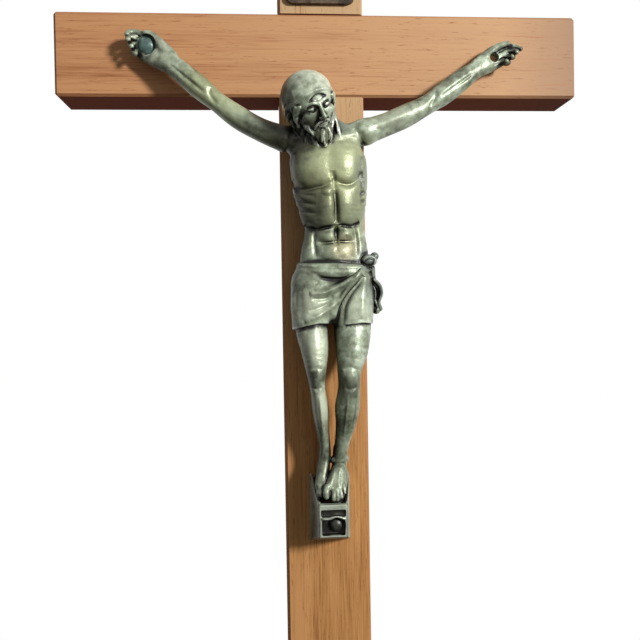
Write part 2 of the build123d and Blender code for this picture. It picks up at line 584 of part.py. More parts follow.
with BuildPart() as hanger_ring:
    bow_radius = (RING_INSIDE_WIDTH + RING_WIRE) / 2
    bow_centre = RING_DROP + RING_WIRE / 2 - bow_radius
    with BuildLine(Plane(origin=(0, HINGE_Y, HINGE_Z), x_dir=(1, 0, 0), z_dir=(0, -1, 0))):
        outline = FilletPolyline(
            (-bow_radius, -bow_centre), (-bow_radius, 0), (bow_radius, 0), (bow_radius, -bow_centre),
            radius=RING_CORNER,
        )
        ThreePointArc(outline @ 1, (0, -bow_centre - bow_radius), outline @ 0)
    with BuildSketch(Plane.YZ):
        with Locations((HINGE_Y, HINGE_Z)):
            RegularPolygon(RING_WIRE / 2, WIRE_SIDES)
    sweep()
hanger_ring.part.label = "hanger_ring"
export_step(hanger_ring.part, "parts/hanger_ring.step")
print("ring", hanger_ring.part.volume, hanger_ring.part.is_valid)
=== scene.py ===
# %% [markdown]
# # A wall crucifix
# Two stained and varnished laths halved into each other carry a small cast figure. The CAD model
# gives every piece its real size and place. This script gives the pieces their looks: it keeps the
# laths, the plaque, the strap and the two large nails as they are and gives them materials. The
# casting is modelled again in full detail, because it is carved form from head to foot, and the
# ring, pins and small nails are made again with rounder forms.

# %% The frame
import math
from functools import partial
from itertools import combinations

import bmesh
import bpy
import numpy as np
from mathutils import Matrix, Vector


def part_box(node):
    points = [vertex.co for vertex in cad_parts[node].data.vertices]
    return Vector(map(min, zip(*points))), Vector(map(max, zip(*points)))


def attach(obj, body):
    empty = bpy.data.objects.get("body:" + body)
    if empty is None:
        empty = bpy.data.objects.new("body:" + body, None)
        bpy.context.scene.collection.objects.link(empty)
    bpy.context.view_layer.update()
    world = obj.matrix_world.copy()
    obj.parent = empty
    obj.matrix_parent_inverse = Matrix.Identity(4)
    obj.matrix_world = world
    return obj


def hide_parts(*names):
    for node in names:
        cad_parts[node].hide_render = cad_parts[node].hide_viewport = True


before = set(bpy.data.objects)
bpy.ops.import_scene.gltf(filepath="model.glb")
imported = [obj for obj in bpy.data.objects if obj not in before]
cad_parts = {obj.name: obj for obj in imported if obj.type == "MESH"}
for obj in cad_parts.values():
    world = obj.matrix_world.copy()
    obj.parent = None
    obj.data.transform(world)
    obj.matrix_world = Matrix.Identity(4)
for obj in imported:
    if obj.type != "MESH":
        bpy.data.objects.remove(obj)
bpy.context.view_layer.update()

scene = bpy.context.scene

# %% [markdown]
# ## The camera
# The camera stands a little to the left of the figure and looks slightly to the right, so the left
# edge of the post and the underside of the crossbar show. Its place and turn are those from which
# the corners of the real laths line up.

# %% The camera
CAMERA_PLACE = (-0.01302, -0.18552, -0.06289)
CAMERA_TURN = (89.0352, 0.9227, -3.8995)
FOCAL_LENGTH = 38.98
SENSOR_WIDTH = 36.0
NEAREST_SEEN = 0.005

camera_data = bpy.data.cameras.new("camera")
camera_data.lens = FOCAL_LENGTH
camera_data.sensor_width = SENSOR_WIDTH
camera_data.clip_start = NEAREST_SEEN
camera = bpy.data.objects.new("camera", camera_data)
scene.collection.objects.link(camera)
camera.location = CAMERA_PLACE
camera.rotation_euler = [math.radians(angle) for angle in CAMERA_TURN]
scene.camera = camera
scene.view_settings.view_transform = "Standard"
print("camera at", CAMERA_PLACE)

# %% [markdown]
# ## Colours and nodes
# Colours are written as they are seen on a screen, in hex, and turned to the linear values that
# Blender works in. One function adds any node: its settings are attributes, its inputs are numbers
# or other nodes' outputs, and a colour ramp's stops are places and colours. It gives back the
# output that the next node takes. Object coordinates are metres, and patterns are laid out in
# millimetres, because grain and grit are.

# %% Colour and node helpers
MM = 1000.0


def colour(hex_code):
    channels = [int(hex_code[i : i + 2], 16) / 255 for i in (1, 3, 5)]
    linear = [c / 12.92 if c <= 0.04045 else ((c + 0.055) / 1.055) ** 2.4 for c in channels]
    return (*linear, 1.0)


def add_node(tree, kind, inputs=None, out=0, stops=(), **settings):
    """Adds a node and gives its output called out, or the node itself where out is None."""
    made = tree.nodes.new(kind)
    for name, value in settings.items():
        setattr(made, name, value)
    for key, value in (inputs or {}).items():
        if isinstance(value, bpy.types.NodeSocket):
            tree.links.new(value, made.inputs[key])
        else:
            made.inputs[key].default_value = value
    if stops:
        elements = made.color_ramp.elements
        while len(elements) < len(stops):
            elements.new(0.5)
        for element, (place, shade) in zip(elements, stops):
            element.position = place
            element.color = colour(shade)
    return made if out is None else made.outputs[out]


def new_material(name):
    """An empty material, and the function that adds nodes to it."""
    material = bpy.data.materials.new(name)
    material.use_nodes = True
    material.node_tree.nodes.clear()
    return material, partial(add_node, material.node_tree)


print("mid grey in linear light:", round(colour("#808080")[0], 3))

# %% [markdown]
# ## Light and floor
# One lamp the size of a hand, up to the right and in front, gives shadows with a fairly crisp edge.
# A weak fill comes from the world. The background is white for the camera and for reflections,
# through Light Path, so that it adds no light to the object. The floor is just under the foot of
# the post and ends behind it.

# %% The lamp
KEY_FROM = Vector((1.0, -1.05, 0.45)).normalized()
KEY_TARGET = Vector((0.0, -0.02, -0.05))
KEY_DISTANCE = 0.7
KEY_SIZE = 0.10
KEY_POWER = 6.0

key_data = bpy.data.lights.new("key", "AREA")
key_data.size = KEY_SIZE
key_data.energy = KEY_POWER
key = bpy.data.objects.new("key", key_data)
scene.collection.objects.link(key)
key.location = KEY_TARGET + KEY_FROM * KEY_DISTANCE
key.rotation_euler = KEY_FROM.to_track_quat("Z", "Y").to_euler()
print("key lamp", KEY_POWER, "W at", KEY_DISTANCE, "m")

# %% [markdown]
# The fill is a soft glow from above on the right, weaker from below and from the left.

# %% The world
FILL_FROM = Vector((0.62, -0.15, 0.77)).normalized()
FILL_ABOVE = 0.34
FILL_BELOW = 0.06

world = bpy.data.worlds.new("studio")
scene.world = world
world.use_nodes = True
world.node_tree.nodes.clear()
add = partial(add_node, world.node_tree)
ray = add("ShaderNodeLightPath", out=None).outputs
seen = add("ShaderNodeMath", {0: ray["Is Camera Ray"], 1: ray["Is Glossy Ray"]}, operation="MAXIMUM")
seen = add("ShaderNodeMath", {0: seen, 1: ray["Is Transmission Ray"]}, operation="MAXIMUM")
direction = add("ShaderNodeTexCoord", out="Generated")
toward = add("ShaderNodeVectorMath", {0: direction, 1: FILL_FROM}, "Value", operation="DOT_PRODUCT")
glow = add("ShaderNodeMapRange", {
    "Value": toward, "From Min": -0.8, "From Max": 0.9, "To Min": FILL_BELOW, "To Max": FILL_ABOVE,
})
level = add("ShaderNodeMapRange", {"Value": seen, "To Min": glow, "To Max": 1.0})
sky = add("ShaderNodeBackground", {"Color": (1, 1, 1, 1), "Strength": level})
add("ShaderNodeOutputWorld", {"Surface": sky}, None)
print("fill from", FILL_BELOW, "to", FILL_ABOVE)

# %% [markdown]
# The floor is pale for the camera, and grey for the light that it would throw up on to the object.

# %% The floor
FLOOR_HEIGHT = -0.1965
FLOOR_BACK = 0.05
FLOOR_SIDE = 0.9

front = [(-FLOOR_SIDE, -FLOOR_SIDE), (FLOOR_SIDE, -FLOOR_SIDE)]
back = [(FLOOR_SIDE, FLOOR_BACK), (-FLOOR_SIDE, FLOOR_BACK)]
floor_mesh = bpy.data.meshes.new("floor")
floor_mesh.from_pydata([(x, y, FLOOR_HEIGHT) for x, y in front + back], [], [(0, 1, 2, 3)])
floor = bpy.data.objects.new("floor", floor_mesh)
scene.collection.objects.link(floor)
paper, add = new_material("pale_paper")
straight = add("ShaderNodeLightPath", out="Is Camera Ray")
shades = {"Factor": straight, "A": colour("#6E6C68"), "B": colour("#F4F3F0")}
shade = add("ShaderNodeMix", shades, "Result", data_type="RGBA")
add("ShaderNodeOutputMaterial", {"Surface": add("ShaderNodeBsdfDiffuse", {"Color": shade})}, None)
floor_mesh.materials.append(paper)
print("floor at", FLOOR_HEIGHT, "m")

# %% [markdown]
# ## Varnished wood
# Beech laths, planed, stained red-brown and varnished by hand. The grain runs along each lath, so
# one function makes the material and takes the direction. Three sizes of pattern make it: broad
# bands of stain, streaks under half a millimetre wide and some centimetres long, and dark pores.
# The colour shifts along each lath, and the level lath's right end is darkened as painted shade. The sawn
# edges are darker, partly from the stain they took up and partly as painted shade. The varnish is dulled, so
# its gloss is low, and it is rougher on the edges.

# %% Wood
BAND, STREAK, PORE = 0.16, 2.4, 2.6  # pattern steps in a millimetre across the grain
PORE_STRETCH = 0.09                  # a pore is a dash about ten times as long as it is wide
VARNISH_IOR = 1.45


def varnished_wood(name, squeeze, light, middle, dark, edge, fades):
    """squeeze scales object coordinates so that patterns come out long along the grain.

    fades are (axis, start, end, most, shade): from start to end, in mm, the colour turns to shade.
    """
    material, add = new_material(name)
    place = add("ShaderNodeTexCoord", out="Object")
    along = add("ShaderNodeVectorMath", {0: place, 1: [MM * s for s in squeeze]}, operation="MULTIPLY")
    wander = add("ShaderNodeTexNoise", {"Vector": along, "Scale": 0.12, "Detail": 2.0}, "Color")
    bent = add("ShaderNodeVectorMath", {0: wander, 1: (3.0, 3.0, 3.0), 2: along}, operation="MULTIPLY_ADD")
    look = {"Vector": bent, "Roughness": 0.6}
    bands = add("ShaderNodeTexNoise", {**look, "Scale": BAND, "Detail": 3.0}, "Fac")
    streaks = add("ShaderNodeTexNoise", {**look, "Scale": STREAK, "Detail": 5.0}, "Fac")
    dashes = [MM * max(s, PORE_STRETCH) for s in squeeze]
    shorter = add("ShaderNodeVectorMath", {0: place, 1: dashes}, operation="MULTIPLY")
    look = {"Vector": shorter, "Scale": PORE, "Detail": 3.0, "Roughness": 0.7}
    pores = add("ShaderNodeTexNoise", look, "Fac")
    mixed = add("ShaderNodeMath", {0: bands, 1: 0.8, 2: streaks}, operation="MULTIPLY_ADD")
    tone = add("ShaderNodeMapRange", {"Value": mixed, "From Min": 0.60, "From Max": 1.12})
    stain = [(0.0, dark), (0.3, middle), (0.75, light), (1.0, light)]
    base = add("ShaderNodeValToRGB", {"Fac": tone}, stops=stain)
    for axis, start, end, most, shade in fades:
        run = add("ShaderNodeSeparateXYZ", {0: place}, axis)
        reach = {"From Min": start / MM, "From Max": end / MM, "To Max": most}
        run = add("ShaderNodeMapRange", {"Value": run, **reach})
        turned = add("ShaderNodeValToRGB", {"Fac": tone}, stops=[(0.0, middle), (0.35, shade), (1.0, shade)])
        base = add("ShaderNodeMix", {"Factor": run, "A": base, "B": turned}, "Result", data_type="RGBA")
    pits = add("ShaderNodeMapRange", {"Value": pores, "From Min": 0.60, "From Max": 0.70, "To Max": 0.75})
    base = add("ShaderNodeMix", {"Factor": pits, "A": base, "B": colour(dark)}, "Result", data_type="RGBA")
    # The sawn edges are multiplied darker, partly as their deeper stain and partly as painted shade.
    facing = add("ShaderNodeSeparateXYZ", {0: add("ShaderNodeNewGeometry", out="Normal")}, "Y")
    facing = add("ShaderNodeMath", {0: facing}, operation="ABSOLUTE")
    side = add("ShaderNodeMapRange", {"Value": facing, "From Min": 0.85, "From Max": 0.3})
    edge_stain_and_shade = {"Factor": side, "A": base, "B": colour(edge)}
    base = add("ShaderNodeMix", edge_stain_and_shade, "Result", data_type="RGBA", blend_type="MULTIPLY")
    relief = add("ShaderNodeMath", {0: pores, 1: 0.6, 2: streaks}, operation="MULTIPLY_ADD")
    bump = add("ShaderNodeBump", {"Height": relief, "Strength": 0.35, "Distance": 0.08 / MM})
    rough = add("ShaderNodeMapRange", {"Value": streaks, "To Min": 0.42, "To Max": 0.62})
    rough = add("ShaderNodeMath", {0: side, 1: 0.3, 2: rough}, operation="MULTIPLY_ADD")
    surface = {"Base Color": base, "Roughness": rough, "Normal": bump}
    gloss = {"Specular IOR Level": 0.22, "IOR": VARNISH_IOR}
    shader = add("ShaderNodeBsdfPrincipled", {**surface, **gloss})
    add("ShaderNodeOutputMaterial", {"Surface": shader}, None)
    return material


post_wood = varnished_wood(
    "varnished_beech_upright", (1.0, 1.0, 0.028), "#BF8B58", "#AB7844", "#7E5030", "#B07552",
    [("Z", -85.0, 5.0, 0.75, "#C2A47E")],
)
# The level lath turns paler towards the right, and its second fade darkens the right end as painted shade.
bar_wood = varnished_wood(
    "varnished_beech_level", (0.028, 1.0, 1.0), "#C08C60", "#AD7750", "#8C5A3A", "#BC7C59",
    [("X", -50.0, 40.0, 0.75, "#C39A72"), ("X", 46.0, 64.0, 0.65, "#8A6B54")],
)


def finish_node(node_name, material):
    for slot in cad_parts[node_name].material_slots:
        slot.material = material
    print(node_name, "takes", material.name)


finish_node("post", post_wood)
finish_node("crossbar", bar_wood)

# %% [markdown]
# ## Patinated bronze
# The figure is cast bronze, browned, turned green by years of air and handled until it shines. The
# green is a thin, smooth skin in soft clouds; the hollows keep a near-black brown, the chest is
# rubbed to a yellowish olive, and what stands proud is pale. Handling leaves a wax-like gloss, so
# most of the modelling is read from highlights: the skin must be smooth, with only a faint grain.
# A patina is a mineral skin over metal, so the metallic share is low.

# %% Colours of the patina
VERDIGRIS = [(0.0, "#4C5140"), (0.5, "#88917A"), (1.0, "#B9C6AE")]
BROWNED = [(0.0, "#1E160F"), (0.5, "#3E2E22"), (1.0, "#5E503F")]
SMOKED = [(0.0, "#181812"), (0.5, "#2D2E27"), (1.0, "#575B4E")]
NAIL_GREEN = [(0.0, "#2C3A36"), (0.5, "#587069"), (1.0, "#93A89C")]
PAINTED_SHADE_BROWN, PAINTED_LIGHT_PALE, SLATE, OLIVE = "#221E14", "#CBD3B9", "#4B5358", "#A9AE82"
NEAR_BLACK, PAINTED_SIDE_SHADE, RUBBED, GRIME = "#1C1B16", "#2A291D", "#DCE4D2", "#3A3F33"
# Spots where the colour changes: x, z and reach in millimetres, strength, and the colour there. The brown
# spots on the beard, the left of the face and hair, the left shoulder, armpit and ribs, the ankle, the right
# knee and round the bracket's nail, and the darker spots on the right shin and ribs, are painted shade. The
# pale spots on the crown, thumb, arms, cloth, thighs and shin and the warm spot on the belly are painted
# light. The slate spots are the patina's own colour.
PATINA_SPOTS_AND_PAINTED_LIGHT = [
    (-5.0, -21.5, 8.0, 0.92, PAINTED_SHADE_BROWN), (-10.0, -26.0, 7.0, 0.7, PAINTED_SHADE_BROWN), (-5.0, -38.5, 9.0, 0.8, PAINTED_SHADE_BROWN),
    (-2.0, -97.0, 8.0, 0.25, PAINTED_SHADE_BROWN), (0.5, -114.5, 6.0, 0.9, PAINTED_SHADE_BROWN), (-15.0, -21.0, 9.0, 0.5, PAINTED_SHADE_BROWN),
    (4.3, -81.5, 4.0, 0.6, PAINTED_SHADE_BROWN), (2.2, -19.2, 4.5, 0.6, SLATE), (3.0, -88.0, 7.0, 0.25, "#43452F"),
    (6.0, -39.0, 6.0, 0.5, "#4F523F"), (10.3, -51.3, 4.0, 0.7, SLATE), (12.4, -60.0, 6.0, 0.55, SLATE),
    (-26.0, -12.0, 11.0, 0.5, "#B4BC8E"), (9.6, -31.0, 6.0, 0.45, SLATE),
    (-2.5, -9.0, 11.0, 1.0, "#DCE2CB"), (-38.5, 0.0, 6.0, 0.6, PAINTED_LIGHT_PALE), (-4.0, -62.5, 6.0, 0.6, PAINTED_LIGHT_PALE),
    (-3.4, -72.0, 6.0, 0.7, PAINTED_LIGHT_PALE), (-2.4, -86.0, 6.0, 0.8, PAINTED_LIGHT_PALE), (7.0, -63.0, 6.0, 0.45, PAINTED_LIGHT_PALE),
    (4.0, -49.0, 4.0, 0.5, "#D8CFA6"), (18.0, -17.0, 7.0, 0.4, PAINTED_LIGHT_PALE),
    (-9.0, -16.0, 7.5, 0.95, PAINTED_SHADE_BROWN), (-4.5, -19.5, 5.0, 0.8, PAINTED_SHADE_BROWN),
]
PATCH_Y = -22.0
print(len(PATINA_SPOTS_AND_PAINTED_LIGHT), "places where the patina differs")

# %% [markdown]
# First the skin of verdigris in clouds, then what hands, hollows and edges changed, with painted light and
# shade, then specks.

# %% Bronze
CLOUD, CRUST, GRIT = 0.13, 0.6, 3.4  # pattern steps in a millimetre
SMOOTH = {"interpolation_type": "SMOOTHSTEP"}


def patina_with_painted_light(add, mm, crust, base):
    """The patina where hands, hollows and edges changed it, with painted shade and painted light laid over
    it.
    """
    hollow = add("ShaderNodeAttribute", out="Fac", attribute_name="hollow")
    proud = add("ShaderNodeAttribute", out="Fac", attribute_name="proud")

    def mixed(share, shade):
        parts = {"Factor": share, "A": base, "B": colour(shade)}
        return add("ShaderNodeMix", parts, "Result", data_type="RGBA")

    # The rubbed chest is an olive yellow, and fades into the green at the neck and the belly.
    height = add("ShaderNodeSeparateXYZ", {0: mm}, "Z")
    over_belly = add("ShaderNodeMapRange", {"Value": height, "From Min": -50.0, "From Max": -36.0}, **SMOOTH)
    under_neck = add("ShaderNodeMapRange", {"Value": height, "From Min": -20.0, "From Max": -27.0}, **SMOOTH)
    rubbed = add("ShaderNodeMath", {0: over_belly, 1: under_neck}, operation="MULTIPLY")
    base = mixed(add("ShaderNodeMapRange", {"Value": rubbed, "To Max": 0.75}), OLIVE)
    # Spots of painted shade and painted light, and a few of the patina's own colour.
    for x, z, reach, strength, shade in PATINA_SPOTS_AND_PAINTED_LIGHT:
        away = add("ShaderNodeVectorMath", {0: mm, 1: (x, PATCH_Y, z)}, "Value", operation="DISTANCE")
        ragged = add("ShaderNodeMath", {0: crust, 1: -0.7 * reach, 2: away}, operation="MULTIPLY_ADD")
        fall = {"From Min": reach * 0.75, "From Max": 0.0, "To Max": strength}
        base = mixed(add("ShaderNodeMapRange", {"Value": ragged, **fall}, **SMOOTH), shade)
    # Painted shade: surfaces that face the viewer's left are darkened, as if turned away from the lamp.
    turned = add("ShaderNodeSeparateXYZ", {0: add("ShaderNodeNewGeometry", out="Normal")}, "X")
    fall = {"From Min": -0.3, "From Max": -0.9, "To Max": 0.6}
    base = mixed(add("ShaderNodeMapRange", {"Value": turned, **fall}, **SMOOTH), PAINTED_SIDE_SHADE)
    # What stands proud is rubbed pale, what lies deep keeps its near-black brown.
    edge = add("ShaderNodeMath", {0: crust, 1: 0.3, 2: proud}, operation="MULTIPLY_ADD")
    fall = {"From Min": 0.3, "From Max": 0.8, "To Max": 0.55}
    base = mixed(add("ShaderNodeMapRange", {"Value": edge, **fall}), RUBBED)
    depth = add("ShaderNodeMath", {0: crust, 1: 0.14, 2: hollow}, operation="MULTIPLY_ADD")
    dirt = {"Value": depth, "From Min": 0.13, "From Max": 0.42}
    return mixed(add("ShaderNodeMapRange", dirt, **SMOOTH), NEAR_BLACK)


def patinated_bronze(name, stops, from_form=False):
    """With from_form, the hollow and proud attributes of the mesh steer the patina, and spots and sides of
    painted light and shade are added.
    """
    material, add = new_material(name)
    place = add("ShaderNodeTexCoord", out="Object")
    mm = add("ShaderNodeVectorMath", {0: place, "Scale": MM}, operation="SCALE")
    clouds = add("ShaderNodeTexNoise", {"Vector": mm, "Scale": CLOUD, "Detail": 2.0}, "Fac")
    look = {"Vector": mm, "Detail": 4.0}
    crust = add("ShaderNodeTexNoise", {**look, "Scale": CRUST, "Roughness": 0.55}, "Fac")
    grit = add("ShaderNodeTexNoise", {**look, "Scale": GRIT, "Roughness": 0.6}, "Fac")
    # Open surfaces: clouds of thin and thick verdigris.
    amount = add("ShaderNodeMath", {0: crust, 1: 0.8, 2: clouds}, operation="MULTIPLY_ADD")
    amount = add("ShaderNodeMapRange", {"Value": amount, "From Min": 0.66, "From Max": 1.14})
    base = add("ShaderNodeValToRGB", {"Fac": amount}, stops=stops)
    if from_form:
        base = patina_with_painted_light(add, mm, crust, base)
    speck = add("ShaderNodeMapRange", {"Value": grit, "From Min": 0.56, "From Max": 0.72, "To Max": 0.28})
    base = add("ShaderNodeMix", {"Factor": speck, "A": base, "B": colour(GRIME)}, "Result", data_type="RGBA")
    rough = add("ShaderNodeMapRange", {"Value": crust, "To Min": 0.52, "To Max": 0.28})
    relief = add("ShaderNodeMath", {0: grit, 1: 0.3, 2: crust}, operation="MULTIPLY_ADD")
    bump = add("ShaderNodeBump", {"Height": relief, "Strength": 0.5, "Distance": 0.22 / MM})
    surface = {"Base Color": base, "Roughness": rough, "Normal": bump}
    shader = add("ShaderNodeBsdfPrincipled", {**surface, "Metallic": 0.25, "Specular IOR Level": 0.4})
    add("ShaderNodeOutputMaterial", {"Surface": shader}, None)
    return material


bronze = patinated_bronze("patinated_cast_bronze", VERDIGRIS, from_form=True)
print("made", bronze.name)

# %% [markdown]
# ## Nails, plaque and hanger
# The nail in the palm has turned blue-green, and the others are bronze that was smoked dark. The
# plaque is cast like the figure, but it is only browned, and flat, so its patina is even. The ring
# and strap behind are drawn and rolled brass, dulled indoors: metal all through, with soft spots.

# %% Nails, plaque and brass
def worn_metal(name, light, dark, roughness, speck_mm):
    material, add = new_material(name)
    place = add("ShaderNodeTexCoord", out="Object")
    mm = add("ShaderNodeVectorMath", {0: place, "Scale": MM}, operation="SCALE")
    look = {"Vector": mm, "Scale": 1 / speck_mm, "Detail": 5.0, "Roughness": 0.65}
    spots = add("ShaderNodeTexNoise", look, "Fac")
    base = add("ShaderNodeValToRGB", {"Fac": spots}, stops=[(0.35, dark), (0.68, light)])
    spread = {"To Min": roughness - 0.1, "To Max": roughness + 0.12}
    rough = add("ShaderNodeMapRange", {"Value": spots, **spread})
    bump = add("ShaderNodeBump", {"Height": spots, "Strength": 0.4, "Distance": 0.06 / MM})
    surface = {"Base Color": base, "Roughness": rough, "Normal": bump}
    shader = add("ShaderNodeBsdfPrincipled", {**surface, "Metallic": 1.0})
    add("ShaderNodeOutputMaterial", {"Surface": shader}, None)
    return material


nail_bronze = patinated_bronze("smoked_nail_bronze", SMOKED)
green_nail = patinated_bronze("verdigris_nail_bronze", NAIL_GREEN)
plaque_bronze = patinated_bronze("browned_plaque_bronze", BROWNED)
brass = worn_metal("dull_drawn_brass", "#B99B5C", "#7A5F33", 0.38, 0.9)
FINISHES = {
    "hand_nail": green_nail, "foot_nail": nail_bronze, "titulus_nails": nail_bronze,
    "titulus": plaque_bronze, "hanger_strap": brass, "hanger_pins": brass, "hanger_ring": brass,
    "corpus": bronze,
}
for node_name, material in FINISHES.items():
    finish_node(node_name, material)

# %% [markdown]
# ## Modelling clay
# The figure on the real cross was modelled in wax or clay and then cast. Blender has sculpting
# brushes, but a script can't hold a brush. What it can hold is a distance field: a function that
# says how far any point lies from the skin of the figure, below zero inside. Forms are joined by
# taking the smaller distance, and a soft minimum gives the small fillet that clay has where two
# lumps meet. Distances are in millimetres, and a point is (x, stand, z): to the viewer's right,
# out from the wood's front face, and up.

# %% Joining two distances
FAR = 9.0  # the distance of a point that nothing is near


def blended(a, b, fillet):
    """The smaller of two distances, rounded where they are closer than the fillet."""
    if fillet <= 0:
        return np.minimum(a, b)
    near = np.maximum(fillet - np.abs(a - b), 0) / fillet
    return np.minimum(a, b) - near * near * fillet / 4


def hollowed(a, b, fillet):
    """Distance a with the form of distance b taken out of it."""
    return -blended(-a, b, fillet)


def unit(v):
    v = np.asarray(v, float)
    return v / np.linalg.norm(v)


print("1 and 1 blended over 0.4:", blended(1.0, 1.0, 0.4))

# %% [markdown]
# Two forms do most of the work: an egg, and a limb, which tapers through stations along a smooth
# path. Both are made of ovals, whose distance is true close to the skin, where it matters. Each
# form knows its box, so that it is only asked about points near it.

# %% Eggs and limbs
LIMB_MARGIN = 3.2  # how far from its skin a limb still gives a true distance
TINY = 1e-9        # keeps a division from meeting nought


def oval(u, v, w, ru, rv, rw):
    """Distance to an ellipsoid from a point in its own axes, true close to its skin."""
    k0 = np.sqrt((u / ru) ** 2 + (v / rv) ** 2 + (w / rw) ** 2)
    k1 = np.sqrt((u / ru**2) ** 2 + (v / rv**2) ** 2 + (w / rw**2) ** 2)
    return k0 * (k0 - 1) / np.maximum(k1, TINY)


def smooth_path(stations, spans):
    """More stations on a smooth curve through the given ones."""
    s = np.asarray(stations, float)
    ends = np.vstack([2 * s[0] - s[1], s, 2 * s[-1] - s[-2]])
    out = []
    for k in range(1, len(ends) - 2):
        a, b, c, d = ends[k - 1 : k + 3]
        bend, twist = 2 * a - 5 * b + 4 * c - d, 3 * b - a - 3 * c + d
        for t in np.arange(spans) / spans:
            out.append(0.5 * (2 * b + (c - a) * t + bend * t**2 + twist * t**3))
    return np.array(out + [s[-1]])


class Form:
    """A distance function with the box outside which it needn't be asked."""

    def __init__(self, distance, low, high):
        self.distance = distance
        self.low = np.asarray(low, float)
        self.high = np.asarray(high, float)

    def near(self, points, margin):
        return np.all((points > self.low - margin) & (points < self.high + margin), axis=1)


def limb(stations, spans=4):
    """A tapering form through stations (x, stand, z, half width, half depth)."""
    way = smooth_path(stations, spans) if spans > 1 else np.asarray(stations, float)
    way[:, 3:] = np.maximum(way[:, 3:], 0.05)

    def distance(p):
        best = np.full(len(p), FAR)
        for a, b in zip(way[:-1], way[1:]):
            margin = max(a[3], a[4], b[3], b[4]) + LIMB_MARGIN
            low, high = np.minimum(a, b)[:3] - margin, np.maximum(a, b)[:3] + margin
            close = np.all((p > low) & (p < high), axis=1)
            if not close.any():
                continue
            length = np.linalg.norm(b[:3] - a[:3])
            along = (b[:3] - a[:3]) / length
            side = np.cross(along, (0, 1, 0))
            side = unit(side) if np.linalg.norm(side) > 1e-3 else np.array((1.0, 0, 0))
            out = np.cross(side, along)
            q = p[close] - a[:3]
            t = np.clip(q @ along / length, 0, 1)
            q = q - np.outer(t * length, along)
            wide = a[3] + t * (b[3] - a[3])
            deep = a[4] + t * (b[4] - a[4])
            skin_gap = oval(q @ side, q @ out, q @ along, wide, deep, np.minimum(wide, deep))
            best[close] = np.minimum(best[close], skin_gap)
        return best

    reach = way[:, 3:].max(axis=1)[:, None]
    return Form(distance, (way[:, :3] - reach).min(axis=0), (way[:, :3] + reach).max(axis=0))


def egg(centre, radii, right=(1, 0, 0), up=(0, 0, 1)):
    """An ellipsoid with radii along its right, outward and up axes."""
    up = unit(up)
    right = unit(np.asarray(right, float) - up * np.dot(right, up))
    out = np.cross(up, right)
    centre = np.asarray(centre, float)

    def distance(p):
        q = p - centre
        return oval(q @ right, q @ out, q @ up, *radii)

    return Form(distance, centre - max(radii), centre + max(radii))


print("1 mm outside an egg:", egg((0, 0, 0), (2, 2, 3)).distance(np.array([[3.0, 0, 0]])))

# %% [markdown]
# A lump of clay remembers what was put on, cut out, pressed in and swelled up, in that order.
# Grooves and muscles are drawn as lines and ovals of the front view, as a modeller sees them, and
# act only on what faces the viewer.

# %% Clay
def line_distance(p, line):
    """Distance in the front view from points to a line of (x, z), and the share of the way along it."""
    steps = np.linalg.norm(np.diff(line, axis=0), axis=1)
    q = p[:, [0, 2]]
    best = np.full(len(p), FAR)
    share = np.zeros(len(p))
    walked = 0.0
    for a, b, length in zip(line[:-1], line[1:], steps):
        along = (b - a) / length
        t = np.clip((q - a) @ along / length, 0, 1)
        r = np.linalg.norm(q - a - np.outer(t * length, along), axis=1)
        closer = r < best
        best = np.where(closer, r, best)
        share = np.where(closer, (walked + t * length) / steps.sum(), share)
        walked += length
    return best, share


class Clay:
    """What one part of the figure is made of, in the order in which it was put on."""

    OUTWARD = 40  # further out than any form stands

    def __init__(self):
        self.steps = []

    def add(self, form, fillet=0.5):
        self.steps.append(("add", form, fillet))

    def cut(self, form, fillet=0.2):
        self.steps.append(("cut", form, fillet))

    def relief(self, amount, low, high):
        """Moves the skin in by an amount, or out where the amount is below zero."""
        self.steps.append(("press", Form(amount, low, high), 0))

    def press(self, line, width, depth, taper=0.25, front=2.0):
        """A groove of that depth along a line of the front view; a negative depth is a ridge."""
        line = smooth_path(line, 4)

        def amount(p):
            r, share = line_distance(p, line)
            ends = np.clip(np.minimum(share, 1 - share) / taper, 0, 1)
            facing = np.clip(p[:, 1] - front, 0, 1)
            return depth * np.exp(-((r / width) ** 2)) * np.sqrt(ends) * facing

        low, high = line.min(axis=0) - 3 * width, line.max(axis=0) + 3 * width
        self.relief(amount, (low[0], front, low[1]), (high[0], self.OUTWARD, high[1]))

    def swell(self, centre, size, height, turn=0.0, front=2.0):
        """A muscle: a pad of that height over an oval of the front view, turned in degrees."""
        c, s = np.cos(np.radians(turn)), np.sin(np.radians(turn))

        def amount(p):
            dx, dz = p[:, 0] - centre[0], p[:, 2] - centre[1]
            r2 = ((dx * c + dz * s) / size[0]) ** 2 + ((dz * c - dx * s) / size[1]) ** 2
            facing = np.clip(p[:, 1] - front, 0, 1)
            return -height * np.clip(1 - r2, 0, 1) ** 1.5 * facing

        reach = max(size)
        low = (centre[0] - reach, front, centre[1] - reach)
        self.relief(amount, low, (centre[0] + reach, self.OUTWARD, centre[1] + reach))

    def press_all(self, lines):
        for line in lines:
            self.press(*line)

    def swell_all(self, pads):
        for pad in pads:
            self.swell(*pad)

    def distance(self, points, band):
        """The distance of points from the skin, where it is less than the band."""
        d = np.full(len(points), FAR)
        for kind, form, fillet in self.steps:
            near = form.near(points, 0.0 if kind == "press" else band + fillet)
            if not near.any():
                continue
            value = form.distance(points[near])
            if kind == "add":
                d[near] = blended(d[near], value, fillet)
            elif kind == "cut":
                d[near] = hollowed(d[near], value, fillet)
            else:
                d[near] += value
        return d


sample = Clay()
sample.add(egg((0, 5, 0), (2, 2, 3)), 0)
sample.press([(-1, 0), (0, 0), (1, 0)], 0.5, 0.4)
print("a pressed egg, at its front:", sample.distance(np.array([[0.0, 7.0, 0.0]]), 1.0))

